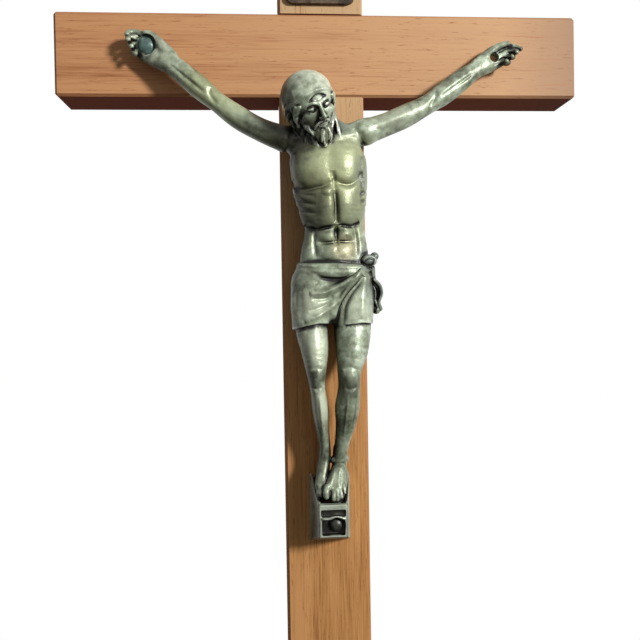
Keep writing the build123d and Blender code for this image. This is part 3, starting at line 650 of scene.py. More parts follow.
# %% [markdown]
# ## From a field to a mesh
# The skin is found on a grid, as a mould is found by slicing. Cells that the skin may pass through
# are sought coarsely and halved, because the field is slow to ask. Each small cube that has
# corners on both sides of the skin gets one vertex, at the middle of the crossings on its edges,
# and each grid edge that crosses the skin gets one quad round it. Blender's voxel remesh would
# round off the locks and folds, so this is done in numpy.

# %% From a field to a mesh
COARSE, FINE = 8, 4  # the sides of a search cell, in grid steps
CHUNK = 400000       # points asked at a time, so that memory stays small


def grid(counts):
    """Every (i, j, k) below the counts, one row each."""
    return np.stack(np.meshgrid(*[np.arange(n) for n in counts], indexing="ij"), -1).reshape(-1, 3)


CUBE_CORNERS = grid((2, 2, 2))


def one_number(places, span):
    """A whole number for each grid place, in the order of x, stand and z."""
    return (places[:, 0] * span[1] + places[:, 1]) * span[2] + places[:, 2]


def cells_near_skin(field, low, high, step):
    cells = grid(np.ceil((high - low) / (COARSE * step)).astype(int))
    for size in (COARSE, FINE):
        if size == FINE:
            cells = (cells[:, None] * 2 + CUBE_CORNERS).reshape(-1, 3)
        width = size * step
        gap = field(low + (cells + 0.5) * width, width)
        cells = cells[np.abs(gap) < width * 1.1]
    return cells


def values_in(cells, field, low, step):
    """The field at the corners of each cell's small cubes; a place that cells share is asked once."""
    side = FINE + 1
    places = (cells[:, None] * FINE + grid([side] * 3)).reshape(-1, 3)
    span = places.max(axis=0) + 2
    keys, back = np.unique(one_number(places, span), return_inverse=True)
    asked = np.stack([keys // (span[1] * span[2]), keys // span[2] % span[1], keys % span[2]], -1)
    parts = [asked[k : k + CHUNK] for k in range(0, len(asked), CHUNK)]
    values = np.concatenate([field(low + part * step, step * 3) for part in parts])
    return values[back].reshape(len(cells), side, side, side), span


def crossing_middles(corners):
    """In each mixed cube, the middle of the crossings on its twelve edges."""
    total = np.zeros((len(corners), 3))
    crossings = np.zeros(len(corners))
    for (a, from_corner), (b, to_corner) in combinations(enumerate(CUBE_CORNERS), 2):
        if np.abs(from_corner - to_corner).sum() != 1:
            continue
        va, vb = corners[:, a], corners[:, b]
        cross = (va < 0) != (vb < 0)
        t = np.where(cross, va / np.where(cross, va - vb, 1), 0)
        total += cross[:, None] * (from_corner + t[:, None] * (to_corner - from_corner))
        crossings += cross
    return total / crossings[:, None]


def quads_between(cubes, corners, span):
    """One quad round each grid edge that crosses the skin, from the four cubes that share it."""
    key = one_number(cubes, span)
    order = np.argsort(key)
    stride = (span[1] * span[2], span[2], 1)
    quads = []
    for axis, (e1, e2) in enumerate(((1, 2), (2, 0), (0, 1))):
        crossed = (corners[:, 0] < 0) != (corners[:, 4 >> axis] < 0)
        shifts = np.array((0, stride[e1], stride[e1] + stride[e2], stride[e2]))
        around = key[crossed][:, None] - shifts
        at = np.minimum(np.searchsorted(key[order], around), len(key) - 1)
        found = (key[order][at] == around).all(axis=1)
        quad = order[at][found]
        flip = corners[crossed][found][:, 0] < 0
        quad[flip] = quad[flip][:, ::-1]
        quads.append(quad)
    return np.vstack(quads)


def skin(field, low, high, step):
    """The surface where the field is zero, as vertices and quads, on a grid of that step."""
    low, high = np.asarray(low, float), np.asarray(high, float)
    cells = cells_near_skin(field, low, high, step)
    values, span = values_in(cells, field, low, step)
    cut = [values[:, i : i + FINE, j : j + FINE, k : k + FINE] for i, j, k in CUBE_CORNERS]
    corners = np.stack(cut, -1)
    inside = corners < 0
    mixed = inside.any(-1) & ~inside.all(-1)
    where = np.argwhere(mixed)
    cubes = cells[where[:, 0]] * FINE + where[:, 1:]
    corners = corners[mixed]
    return low + (cubes + crossing_middles(corners)) * step, quads_between(cubes, corners, span)


def settled(field, vertices, step, rounds=2):
    """The vertices moved on to the skin along the field's own slope."""
    probe, stride = step * 0.35, step * 0.7
    for _ in range(rounds):
        d = field(vertices, step * 3)
        slope = np.empty_like(vertices)
        for axis in range(3):
            shift = np.zeros(3)
            shift[axis] = probe
            slope[:, axis] = (field(vertices + shift, step * 3) - d) / probe
        size = np.maximum((slope**2).sum(1), 0.25)
        vertices = vertices + np.clip(-(d / size)[:, None] * slope, -stride, stride)
    return vertices


vertices, quads = skin(sample.distance, (-3, 2, -4), (3, 8, 4), 0.5)
print("the pressed egg as a mesh:", len(vertices), "vertices,", len(quads), "quads")

# %% [markdown]
# ## The body
# The trunk, arms and legs are limbs: smooth tapers through a few stations, each with its centre,
# half width and half depth. Muscles are pads swelled on to the front, and the lines between them
# are pressed in, as a modeller does with a loop tool.

# %% Stations of the trunk, arms and legs
TRUNK = [
    (1.6, 5.9, -58.0, 8.6, 4.6),
    (2.1, 5.8, -51.0, 8.3, 4.2),
    (2.25, 5.6, -45.0, 7.2, 3.9),
    (1.9, 5.8, -40.0, 7.6, 4.2),
    (1.0, 6.2, -33.0, 8.4, 4.6),
    (0.6, 6.4, -26.5, 8.4, 4.4),
]
CHEST = [
    (1.7, 6.4, -40.8, 7.7, 5.0),
    (1.5, 6.6, -37.0, 8.55, 5.35),
    (1.0, 6.8, -32.0, 9.2, 5.3),
    (0.7, 6.8, -27.0, 9.1, 4.9),
    (0.4, 6.6, -22.8, 7.6, 3.9),
    (0.1, 6.6, -20.0, 4.8, 3.0),
]
NECK = [
    (0.2, 6.4, -21.5, 3.6, 3.0),
    (-0.6, 7.8, -18.6, 2.6, 2.5),
    (-1.7, 9.8, -16.0, 2.6, 2.6),
]
RIGHT_ARM = [
    (4.5, 6.2, -22.3, 3.2, 2.9),
    (10.3, 6.2, -20.4, 3.0, 2.8),
    (15.0, 5.9, -18.7, 2.75, 2.6),
    (20.0, 5.7, -16.5, 2.75, 2.6),
    (25.5, 5.3, -13.6, 2.3, 2.2),
    (29.5, 5.0, -10.9, 2.65, 2.3),
    (34.0, 4.4, -7.5, 2.55, 2.0),
    (38.0, 3.7, -4.6, 2.1, 1.6),
    (40.5, 3.3, -2.9, 2.35, 1.4),
]
LEFT_ARM = [
    (-4.5, 6.4, -23.8, 3.2, 2.9),
    (-10.6, 6.5, -21.9, 3.0, 2.8),
    (-15.5, 6.3, -19.9, 2.7, 2.6),
    (-20.5, 6.0, -17.0, 2.7, 2.6),
    (-25.5, 5.7, -13.2, 2.35, 2.2),
    (-29.5, 5.5, -9.8, 2.7, 2.4),
    (-34.0, 5.1, -5.9, 2.5, 2.0),
    (-37.3, 4.3, -3.1, 2.4, 1.7),
    (-39.4, 3.6, -1.5, 2.6, 1.4),
]
RIGHT_LEG = [
    (5.6, 6.0, -58.0, 4.9, 4.5),
    (6.0, 7.2, -67.0, 4.5, 4.3),
    (5.7, 8.5, -73.0, 3.85, 3.8),
    (4.9, 9.3, -77.5, 2.85, 3.2),
    (4.8, 8.9, -82.0, 2.6, 2.9),
    (4.4, 8.1, -86.5, 2.95, 3.0),
    (4.05, 7.5, -90.5, 2.45, 2.6),
    (3.2, 6.9, -95.0, 1.8, 2.0),
    (2.65, 6.4, -98.5, 1.65, 1.9),
]
LEFT_LEG = [
    (-3.5, 6.0, -58.0, 4.6, 4.3),
    (-3.75, 6.8, -67.0, 4.0, 4.1),
    (-3.2, 7.9, -72.5, 3.35, 3.6),
    (-3.0, 8.6, -77.5, 2.45, 3.1),
    (-2.65, 8.2, -82.3, 1.8, 2.7),
    (-2.0, 7.3, -87.0, 2.0, 2.8),
    (-1.7, 6.7, -91.0, 1.65, 2.4),
    (-1.05, 6.1, -95.5, 1.4, 1.9),
    (-1.0, 5.7, -99.0, 1.4, 1.8),
]
print(len(TRUNK + CHEST + NECK), "stations in the trunk and neck")

# %% [markdown]
# The rough torso comes first: trunk, chest, neck, the balls of the shoulders, and the arms.

# %% The torso in the rough
torso = Clay()
torso.add(limb(TRUNK), 0)
torso.add(limb(CHEST), 0.35)
torso.add(limb(NECK), 1.2)
for side, z in ((1, -20.6), (-1, -22.1)):
    torso.add(egg((side * 9.4 + 0.3, 6.6, z), (3.2, 2.9, 3.1)), 1.4)
torso.add(limb(RIGHT_ARM), 0.9)
torso.add(limb(LEFT_ARM), 0.9)
print("torso:", len(torso.steps), "steps")

# %% [markdown]
# The chest muscles lie on each side of the hollow of the breastbone. Under them the arch of
# the ribs stands over a sunken belly.

# %% Chest and ribs
torso.swell_all([
    ((-3.6, -29.2), (5.4, 5.6), 0.7, 8),
    ((4.9, -28.6), (4.6, 5.4), 0.7, -8),
])
torso.press_all([
    ([(1.4, -31.0), (1.6, -33.2), (2.0, -35.6)], 0.6, 0.6),
    ([(1.4, -32.7), (2.8, -33.6), (4.5, -34.0), (6.0, -33.7), (7.2, -32.6), (8.0, -30.6)], 0.7, 0.8),
    ([
        (-7.8, -32.4), (-6.8, -34.2), (-5.0, -35.0), (-2.6, -34.7), (-0.6, -34.3), (1.0, -33.3),
    ], 0.7, 0.8),
])
torso.swell((0.1, -35.7), (1.6, 1.3), 0.5)
torso.swell_all([
    ((-0.2, -39.4), (2.3, 4.6), 0.55, -4),
    ((4.6, -39.0), (2.6, 4.8), 0.4, 4),
])
torso.press_all([
    ([(1.8, -35.4), (2.1, -38.6), (2.2, -43.0)], 0.72, 0.85, 0.1),
    ([(-5.0, -42.8), (-3.7, -43.6), (-1.7, -44.0), (0.6, -43.7), (2.2, -43.0)], 0.5, 0.55),
    ([(2.2, -43.0), (3.7, -43.4), (5.3, -43.5), (6.7, -43.0), (7.8, -42.3)], 0.5, 0.55),
])
for k in range(3):
    torso.press([(-2.6, -36.6 - 2.0 * k), (-5.0, -36.2 - 1.9 * k), (-7.4, -35.0 - 1.8 * k)], 0.45, 0.28)
    torso.press([(7.0, -36.4 - 2.0 * k), (8.8, -35.6 - 1.9 * k), (10.6, -34.4 - 1.8 * k)], 0.45, 0.12)
print("torso:", len(torso.steps), "steps")

# %% [markdown]
# The belly is two rows of blocks round the navel, with a flank on each side.

# %% The belly
for x, z, wide, high, height in (
    (0.0, -45.6, 2.5, 2.0, 0.8), (4.4, -45.3, 2.4, 2.1, 0.8), (0.1, -49.2, 2.6, 2.3, 0.35),
    (4.3, -49.0, 2.6, 2.3, 0.4),
):
    torso.swell((x, z), (wide, high), height)
torso.swell((2.2, -50.6), (5.2, 4.6), 0.8)
torso.press([(2.25, -43.2), (2.25, -46.0), (2.3, -48.4)], 0.5, 0.5, taper=0.1)
torso.cut(egg((2.3, 11.5, -48.9), (0.5, 1.1, 0.8)), 0.4)
torso.press_all([
    ([(-2.4, -47.3), (0.2, -47.5), (2.3, -47.2), (4.3, -47.2), (6.6, -47.0)], 0.5, 0.55),
    ([(-2.7, -43.9), (-2.9, -47.5), (-2.6, -50.9)], 0.6, 0.5),
    ([(6.6, -43.6), (7.1, -47.5), (6.8, -50.9)], 0.6, 0.35),
])
torso.swell_all([
    ((-4.5, -47.6), (2.1, 4.8), 0.3, -4),
    ((8.5, -47.2), (2.2, 5.0), 0.3, 6),
])
print("torso:", len(torso.steps), "steps")

# %% [markdown]
# Collar bones, the cords of the neck and the lines of the arms are thin ridges and grooves.

# %% Collar bones, neck and arms
torso.press_all([
    ([(0.9, -22.9), (4.5, -22.2), (8.6, -21.4)], 0.8, -0.3),
    ([(-0.6, -23.2), (-4.5, -22.9), (-8.4, -22.5)], 0.8, -0.3),
    ([(0.3, -22.8), (0.9, -20.5), (0.8, -18.0)], 0.4, -0.4),
    ([(8.4, -24.0), (8.1, -29.0), (8.3, -33.5), (7.9, -39.5)], 0.9, 0.6),
    ([(-7.6, -26.6), (-8.0, -30.0), (-7.4, -34.0)], 0.5, 0.35),
    ([(6.9, -20.4), (8.8, -23.0), (9.6, -26.5)], 0.7, 0.4),
    ([(-7.2, -20.9), (-9.0, -24.4), (-9.0, -27.5)], 0.6, 0.5),
])
torso.swell_all([
    ((15.8, -18.0), (5.4, 1.8), 0.35, 22),
    ((-16.2, -19.0), (5.4, 1.8), 0.35, -24),
    ((30.5, -9.9), (5.0, 1.6), 0.3, 36),
    ((-30.3, -8.6), (5.0, 1.6), 0.3, -40),
])
torso.press_all([
    ([(25.6, -14.6), (26.9, -12.6), (27.2, -10.9)], 0.5, 0.3),
    ([(-25.3, -14.4), (-26.9, -12.2), (-27.0, -10.4)], 0.5, 0.3),
    ([(28.4, -12.3), (32.6, -9.2), (37.2, -5.8)], 0.4, 0.3),
    ([(-28.2, -11.8), (-32.4, -8.2), (-36.6, -4.5)], 0.4, 0.3),
])
print("torso:", len(torso.steps), "steps")

# %% [markdown]
# A leg is one limb from hip to ankle. The thigh and kneecap are pads, the shin is a ridge.

# %% The legs
legs = Clay()
legs.add(limb(RIGHT_LEG), 0)
legs.add(limb(LEFT_LEG), 0)
legs.swell_all([
    ((5.9, -71.5), (2.3, 6.0), 0.35, -4),
    ((-3.6, -71.0), (2.0, 6.0), 0.3, -2),
    ((4.9, -79.2), (1.7, 2.1), 0.3),
    ((-3.0, -79.2), (1.4, 2.0), 0.25),
])
legs.press_all([
    ([(3.3, -77.4), (4.9, -76.7), (6.5, -77.3)], 0.45, 0.15),
    ([(3.5, -81.4), (4.9, -82.0), (6.3, -81.3)], 0.45, 0.3),
    ([(-4.3, -77.3), (-3.0, -76.8), (-1.8, -77.3)], 0.4, 0.12),
    ([(-4.0, -81.3), (-2.9, -81.9), (-1.9, -81.2)], 0.4, 0.25),
    ([(4.3, -83.5), (3.9, -88.0), (3.3, -93.5)], 0.35, -0.3),
    ([(-2.4, -83.5), (-2.0, -88.0), (-1.4, -94.0)], 0.35, -0.25),
    ([(6.0, -83.8), (5.9, -87.5), (5.0, -92.0)], 0.5, 0.25),
])

print("legs:", len(legs.steps), "steps")

# %% [markdown]
# ## Hands and feet
# Fingers and toes are short limbs too. The hands are half closed round the nail holes; one palm
# has lost its nail and shows the empty hole. One foot lies over the other on the bracket.

# %% The hands
def digit(points, root, tip):
    """A finger or toe through its joints, tapering from root to tip radius."""
    radii = np.linspace(root, tip, len(points))
    knuckled = [(*p, r, r) for p, r in zip(points, radii)]
    return limb(knuckled, 3)


hands = Clay()
hands.add(limb([
    (38.6, 3.6, -4.1, 2.2, 1.5), (41.0, 3.1, -2.6, 2.6, 1.35), (43.6, 2.8, -0.9, 2.85, 1.15),
    (45.7, 3.0, 0.1, 2.3, 1.0),
]), 0)
hands.add(limb([
    (-37.2, 4.2, -3.4, 2.6, 1.6), (-39.8, 3.4, -1.5, 3.0, 1.4), (-42.0, 3.0, 0.3, 3.3, 1.2),
    (-43.6, 3.0, 1.6, 2.8, 1.0),
]), 0)
RIGHT_FINGERS = [
    [(44.4, 3.2, 1.1), (46.4, 3.4, 1.4), (48.0, 3.9, 1.0), (49.1, 4.5, 0.4)],
    [(45.0, 3.1, 0.2), (46.8, 3.5, 0.2), (48.0, 4.5, -0.3), (47.7, 5.5, -0.8)],
    [(45.2, 3.0, -1.0), (46.6, 3.5, -1.3), (47.2, 4.5, -1.6), (46.6, 5.4, -1.8)],
    [(44.6, 2.9, -2.0), (45.8, 3.4, -2.7), (46.1, 4.3, -2.9), (45.4, 5.1, -2.9)],
]
LEFT_FINGERS = [
    [(-42.6, 3.3, 3.1), (-44.4, 3.4, 3.8), (-45.9, 3.9, 3.7), (-46.4, 4.8, 2.9)],
    [(-43.4, 3.1, 2.2), (-45.0, 3.4, 2.6), (-46.2, 4.1, 2.3), (-46.1, 5.1, 1.5)],
    [(-43.9, 3.0, 1.0), (-45.1, 3.3, 1.0), (-45.8, 4.1, 0.6), (-45.4, 4.9, 0.0)],
    [(-43.6, 2.9, -0.3), (-44.6, 3.2, -0.7), (-45.1, 4.0, -1.1), (-44.6, 4.7, -1.6)],
]
for points in RIGHT_FINGERS:
    hands.add(digit(points, 0.82, 0.6), 0.18)
for points in LEFT_FINGERS:
    hands.add(digit(points, 0.85, 0.62), 0.18)
hands.add(digit([
    (40.6, 3.4, -1.2), (42.4, 3.8, 0.3), (44.3, 4.2, 1.3), (45.9, 4.7, 1.6),
], 1.1, 0.6), 0.4)
hands.add(limb([
    (-36.2, 4.6, -2.2, 1.6, 1.4), (-37.8, 4.5, -0.4, 1.5, 1.4), (-39.3, 4.3, 1.4, 1.15, 1.1),
    (-40.8, 4.2, 3.0, 0.85, 0.8), (-42.3, 4.3, 3.5, 0.6, 0.6),
]), 0.6)
for line in ([(42.4, -3.2), (44.2, -2.2), (45.6, -1.4)], [(43.4, -0.4), (45.4, 0.5)]):
    hands.press(line, 0.3, 0.25)
for line in ([(-40.6, -1.4), (-42.8, -0.4), (-44.4, 0.6)], [(-43.4, 2.8), (-45.0, 2.4)]):
    hands.press(line, 0.3, 0.25)
print("hands:", len(hands.steps), "steps")

# %% [markdown]
# The foot below shows only its side and two toes. The foot over it has all five, and is a lump
# of its own, so that a dark line stays between the two.

# %% The feet
feet = Clay()
feet.add(limb([
    (-1.0, 5.7, -97.5, 1.4, 1.8), (-1.2, 5.8, -100.0, 1.5, 2.0), (-1.8, 7.2, -102.8, 1.5, 1.7),
    (-2.3, 8.4, -105.2, 1.4, 1.3),
]), 0)
feet.add(limb([
    (-1.1, 4.4, -103.0, 1.4, 2.6), (-1.6, 6.8, -105.0, 1.4, 2.3), (-2.1, 8.8, -107.0, 1.3, 1.5),
]), 0.8)
for k in range(2):
    feet.add(digit([(-2.9 + 0.9 * k, 8.4, -104.8), (-3.0 + 0.9 * k, 9.3, -106.9)], 0.5, 0.42), 0.15)
over = Clay()
over.add(limb([
    (2.7, 6.0, -97.0, 1.7, 1.95), (2.5, 6.3, -100.2, 1.8, 2.1), (1.9, 7.9, -102.6, 1.95, 1.75),
    (1.2, 9.2, -104.7, 2.35, 1.35), (0.9, 10.1, -105.9, 2.4, 1.0),
]), 0)
over.add(egg((0.9, 6.6, -99.6), (0.8, 0.9, 0.9)), 0.5)
over.add(egg((4.2, 6.4, -99.4), (0.6, 0.8, 0.8)), 0.5)
TOES = [
    (-1.15, 0.85, -107.1, 11.3), (0.45, 0.52, -107.8, 11.4), (1.4, 0.48, -107.8, 11.4),
    (2.3, 0.45, -107.4, 11.2), (3.1, 0.42, -106.5, 10.7),
]
for x, radius, tip_z, tip_stand in TOES:
    root = (0.8 + (x - 0.8) * 0.85, tip_stand - 1.0, tip_z + 1.9)
    middle = (x, tip_stand - 0.2, tip_z + 0.9)
    over.add(digit([root, middle, (x * 1.02, tip_stand, tip_z)], radius, radius * 0.85), 0.12)
over.add(limb([
    (3.0, 4.6, -103.4, 1.6, 2.6), (2.3, 7.4, -105.4, 1.8, 2.3), (1.0, 9.8, -107.6, 2.1, 1.5),
]), 0.8)
over.press_all([
    ([(1.2, -101.0), (0.2, -103.4), (-0.4, -105.0)], 0.35, -0.2),
    ([(2.2, -101.4), (1.9, -103.6), (1.9, -105.2)], 0.3, -0.18),
    ([(0.4, -100.6), (2.2, -100.2), (4.0, -100.5)], 0.4, 0.25),
])

print("feet:", len(feet.steps) + len(over.steps), "steps")

# %% [markdown]
# ## The loincloth
# Cloth cast in metal is a skin round the hips, with a rolled band, a knot at one side, folds that
# fan out from the knot and a straight hem that stands off the thighs. The folds are pressed and
# raised lines of the front view; the hem is a cut.

# %% Cloth round the hips
HEM = np.array([
    (-12.0, -68.2), (-8.1, -67.9), (-5.1, -67.0), (-2.1, -66.5), (0.2, -66.6), (2.9, -67.1),
    (5.2, -66.8), (8.2, -66.5), (12.0, -66.8),
])

cloth = Clay()
cloth.add(limb([
    (1.9, 6.0, -53.0, 8.7, 4.5), (1.5, 6.1, -57.5, 9.4, 4.9), (1.3, 6.3, -62.0, 9.4, 4.8),
]), 0)
cloth.add(limb([
    (-3.2, 6.3, -57.0, 5.3, 5.1), (-3.6, 6.7, -63.0, 5.0, 5.0), (-3.75, 6.9, -69.5, 4.5, 4.65),
]), 1.0)
cloth.add(limb([
    (5.9, 6.3, -57.0, 5.2, 5.1), (6.1, 6.8, -63.0, 5.1, 5.1), (6.05, 7.0, -69.5, 4.75, 4.8),
]), 1.0)


def below_hem(p):
    return (p[:, 2] - np.interp(p[:, 0], HEM[:, 0], HEM[:, 1])) * 0.95


# The rolled band leans: its front is lower than its back.
BAND_CENTRE = np.array((1.9, 5.9, -53.0))
BAND_SLOPE = 0.2
BAND_REACH = (8.2, 5.1)


def above_band(p):
    q = p - BAND_CENTRE
    return -(q[:, 2] + BAND_SLOPE * q[:, 1] - 0.2)


cloth.cut(Form(above_band, (-12, -2, -56), (14, 14, -46)), 0.2)
cloth.cut(Form(below_hem, (-13, -2, -76), (14, 14, -62)), 0.25)

print("cloth:", len(cloth.steps), "steps")

# %% [markdown]
# Each fold is a line of the front view, with its width and depth. A negative depth stands proud.

# %% Folds
FOLDS = [
    ([
        (-7.4, -54.2), (-5.0, -55.0), (-3.0, -55.7), (-0.5, -56.0), (2.0, -55.8), (4.4, -54.9),
        (6.6, -54.2),
    ], 0.45, 0.15),
    ([(-4.2, -55.6), (-2.2, -56.8), (0.8, -57.1), (3.6, -56.2)], 0.5, 0.1),
    ([(-4.4, -59.5), (-1.4, -59.3), (1.0, -58.5), (3.8, -57.1), (7.4, -54.8)], 0.75, -0.95),
    ([(-3.9, -60.7), (-1.0, -60.7), (1.2, -60.1)], 0.5, 0.35),
    ([(8.9, -52.6), (7.9, -54.0), (6.1, -56.7), (3.7, -59.7), (2.4, -62.2)], 0.6, -1.0),
    ([(8.4, -55.2), (6.9, -57.4), (5.2, -59.3), (3.7, -61.6), (3.0, -64.2), (2.8, -67.2)], 0.95, 1.15),
    ([(2.7, -60.8), (1.9, -61.6), (0.4, -62.9), (-2.2, -64.6), (-5.6, -66.0)], 0.6, -0.55),
    ([(0.6, -61.4), (-1.6, -62.6), (-4.6, -63.6)], 0.45, 0.3),
    ([(9.9, -54.4), (9.9, -58.5), (9.5, -62.5), (9.1, -66.4)], 0.7, 0.2),
    ([(8.6, -57.0), (8.2, -61.0), (8.0, -65.5)], 0.9, -0.35),
    ([(-6.8, -58.5), (-6.4, -62.0), (-6.2, -66.0)], 0.9, 0.2),
    ([(-7.6, -56.0), (-8.0, -60.0), (-8.3, -64.0)], 0.6, -0.25),
]
for line, width, depth in FOLDS:
    cloth.press(line, width, depth)
print("cloth:", len(cloth.steps), "steps")

# %% [markdown]
# The band is a roll round the hips. It is highest in front, and a shallow groove runs along it.
# The knot is two eggs, and its tail is a loop whose rim stands out round a hollow.

# %% Band, knot and tail
def band_distance(p):
    q = p - BAND_CENTRE
    rise = q[:, 2] + BAND_SLOPE * q[:, 1] + 0.03 * q[:, 0]
    a, b = BAND_REACH
    k0 = np.sqrt((q[:, 0] / a) ** 2 + (q[:, 1] / b) ** 2)
    k1 = np.sqrt((q[:, 0] / a**2) ** 2 + (q[:, 1] / b**2) ** 2)
    ring = k0 * (k0 - 1) / np.maximum(k1, TINY)
    turn = np.arctan2(q[:, 0] / a, q[:, 1] / b)
    half_height = 0.95 + 0.9 * np.clip(np.cos(turn), 0, 1) ** 2
    roll = np.sqrt(ring**2 + (rise / half_height) ** 2)
    return roll - 1 + 0.14 * np.exp(-(((rise - 0.25) / 0.35) ** 2))


knot = Clay()
knot.add(Form(band_distance, (-8.5, 0, -57), (12.5, 12.5, -49.5)), 0)
knot.add(egg((10.0, 8.1, -51.7), (2.1, 1.8, 1.55), (1, -0.2, 0.5)), 0.25)
knot.add(egg((11.6, 7.2, -50.6), (1.05, 1.2, 1.0)), 0.25)
knot.add(limb([
    (10.9, 6.7, -53.4, 0.9, 1.3), (11.1, 6.2, -56.0, 0.9, 1.5), (11.9, 5.4, -58.8, 1.2, 1.7),
    (11.8, 5.2, -61.4, 0.9, 1.7), (12.1, 5.0, -63.3, 1.2, 1.8),
]), 0.3)
knot.add(limb([
    (11.2, 7.9, -56.2, 0.45, 0.6), (12.7, 7.2, -57.6, 0.5, 0.7), (13.2, 6.6, -59.6, 0.5, 0.7),
    (12.6, 6.4, -61.6, 0.45, 0.6), (13.0, 6.0, -63.2, 0.6, 0.7),
]), 0.12)
knot.press_all([
    ([(8.4, -52.5), (9.8, -51.2), (11.2, -51.6), (10.6, -52.6), (9.3, -52.7)], 0.3, 0.4),
    ([(11.4, -57.4), (12.2, -58.6), (12.3, -60.2), (11.8, -61.4)], 0.35, 0.5),
    ([(11.4, -62.2), (12.1, -63.3)], 0.3, 0.4),
])
print("knot:", len(knot.steps), "steps")

# %% [markdown]
# ## The head
# A head is easier to model upright and facing forward, and to set in its place afterwards. These
# numbers are in the head's own frame: to the viewer's right, forward and up from its middle. The
# proportions are the ones that drawing books give: eyes half way down, brow, nose base and chin a
# third of the face apart, and five eye widths across. The lids are closed and the face is calm.

# %% The head, in its own frame
HEAD_PLACE = np.array((-3.7, 12.0, -15.3))
HEAD_UP = unit((-0.25, 0.52, 0.82))
HEAD_FORWARD = np.array((0.42, 0.76, -0.50))
HEAD_FORWARD = unit(HEAD_FORWARD - HEAD_UP * (HEAD_FORWARD @ HEAD_UP))
HEAD_RIGHT = np.cross(HEAD_FORWARD, HEAD_UP)
EYE_HALF_GAP = 1.85
LIP_LINE = -4.1


def set_in_place(clay, low, high):
    """The clay of the head's frame as a form of the figure."""
    axes = np.stack([HEAD_RIGHT, HEAD_FORWARD, HEAD_UP], 1)
    corners = np.array(
        [[x, y, z] for x in (low[0], high[0]) for y in (low[1], high[1]) for z in (low[2], high[2])]
    )
    reach = HEAD_PLACE + corners @ axes.T
    return Form(
        lambda p: clay.distance((p - HEAD_PLACE) @ axes, 1.5), reach.min(axis=0), reach.max(axis=0),
    )


print("the head looks along", HEAD_FORWARD.round(2))

# %% [markdown]
# Skull, cheeks, chin and neck first, then brows, sockets and closed lids, nose and lips.

# %% The face
face = Clay()
face.add(egg((0, -0.5, 1.5), (4.7, 5.6, 5.1)), 0)
face.add(egg((0, 1.4, -1.6), (4.0, 4.0, 5.0)), 0.8)
face.add(egg((0, 1.9, -4.6), (2.9, 2.9, 2.2)), 0.8)
face.add(limb([(0, -0.5, -3.0, 2.7, 2.7), (0.2, -1.8, -7.0, 2.6, 2.6)]), 1.0)
for side in (-1, 1):
    eye = side * EYE_HALF_GAP
    face.add(limb([
        (side * 3.3, 3.5, 0.7, 0.5, 0.5), (eye, 4.8, 1.25, 0.5, 0.5), (side * 0.5, 5.2, 0.8, 0.4, 0.4),
    ]), 0.5)
    face.cut(egg((eye, 5.6, -0.1), (1.3, 1.0, 0.85)), 0.5)
    face.add(egg((eye, 4.35, -0.1), (1.0, 0.8, 0.68)), 0.15)
    face.add(egg((side * 2.7, 3.7, -1.6), (1.3, 1.1, 1.0)), 1.0)
face.add(limb([(0, 5.1, 1.0, 0.42, 0.5), (0, 5.9, -0.8, 0.48, 0.6), (0, 6.5, -2.1, 0.6, 0.6)]), 0.4)
for side in (-1, 1):
    face.add(egg((side * 0.62, 5.8, -2.3), (0.45, 0.5, 0.4)), 0.2)
    face.press([
        (side * (EYE_HALF_GAP - 0.9), -0.35), (side * EYE_HALF_GAP, -0.62),
        (side * (EYE_HALF_GAP + 0.9), -0.3),
    ], 0.16, 0.22, taper=0.1)
    face.press([(side * 0.75, -2.6), (side * 1.5, -3.4)], 0.3, 0.22)
face.add(limb([
    (-1.15, 4.7, LIP_LINE + 0.1, 0.25, 0.3), (0, 5.25, LIP_LINE + 0.3, 0.38, 0.4),
    (1.15, 4.7, LIP_LINE + 0.1, 0.25, 0.3),
]), 0.2)
face.add(limb([
    (-0.95, 4.7, LIP_LINE - 0.3, 0.25, 0.3), (0, 5.1, LIP_LINE - 0.42, 0.4, 0.4),
    (0.95, 4.7, LIP_LINE - 0.3, 0.25, 0.3),
]), 0.15)

print("face:", len(face.steps), "steps")

# %% [markdown]
# ## Hair and beard
# Cast hair is a few bold locks, each cut with strands. A lock is a bundle of thin limbs that twist
# about its path, so the strands and the dark lines between them come from one loop.

# %% A lock
def lock(path, width, strands, turns=0.8):
    """A bundle of strands round a path of (x, y, z), thick in the middle and thin at its end."""
    way = smooth_path(path, 4)
    along = np.linspace(0, 1, len(way))
    bundle = []
    for k in range(strands):
        angle = 2 * np.pi * (k / strands + turns * along)
        spread = width * 0.55 * (1 - 0.55 * along**2)
        thick = width * (0.62 - 0.42 * along)
        ride = np.stack([
            way[:, 0] + spread * np.cos(angle), way[:, 1] + spread * np.sin(angle), way[:, 2],
        ], 1)
        bundle.append(limb(np.column_stack([ride, thick, thick]), 1))
    return bundle


def put_on(clay, bundle, fillet):
    for strand in bundle:
        clay.add(strand, fillet)

print("a lock of 4:", len(lock([(0, 0, 0), (0, 0, -4)], 1.0, 4)), "limbs")

# %% [markdown]
# The hair is a cap, cut open round the face, with waves combed from the crown and locks at the
# sides. One smooth band runs over the forehead.

# %% The hair
def cap_waves(p):
    """Shallow combed grooves that fan out from the crown."""
    turn = np.arctan2(p[:, 0], p[:, 1] + 0.9)
    fade = np.clip((5.6 - p[:, 2]) / 3.0, 0, 1) * np.clip(3.2 - p[:, 1], 0, 1)
    return 0.13 * fade * np.sin(17 * turn + 0.5 * p[:, 2])


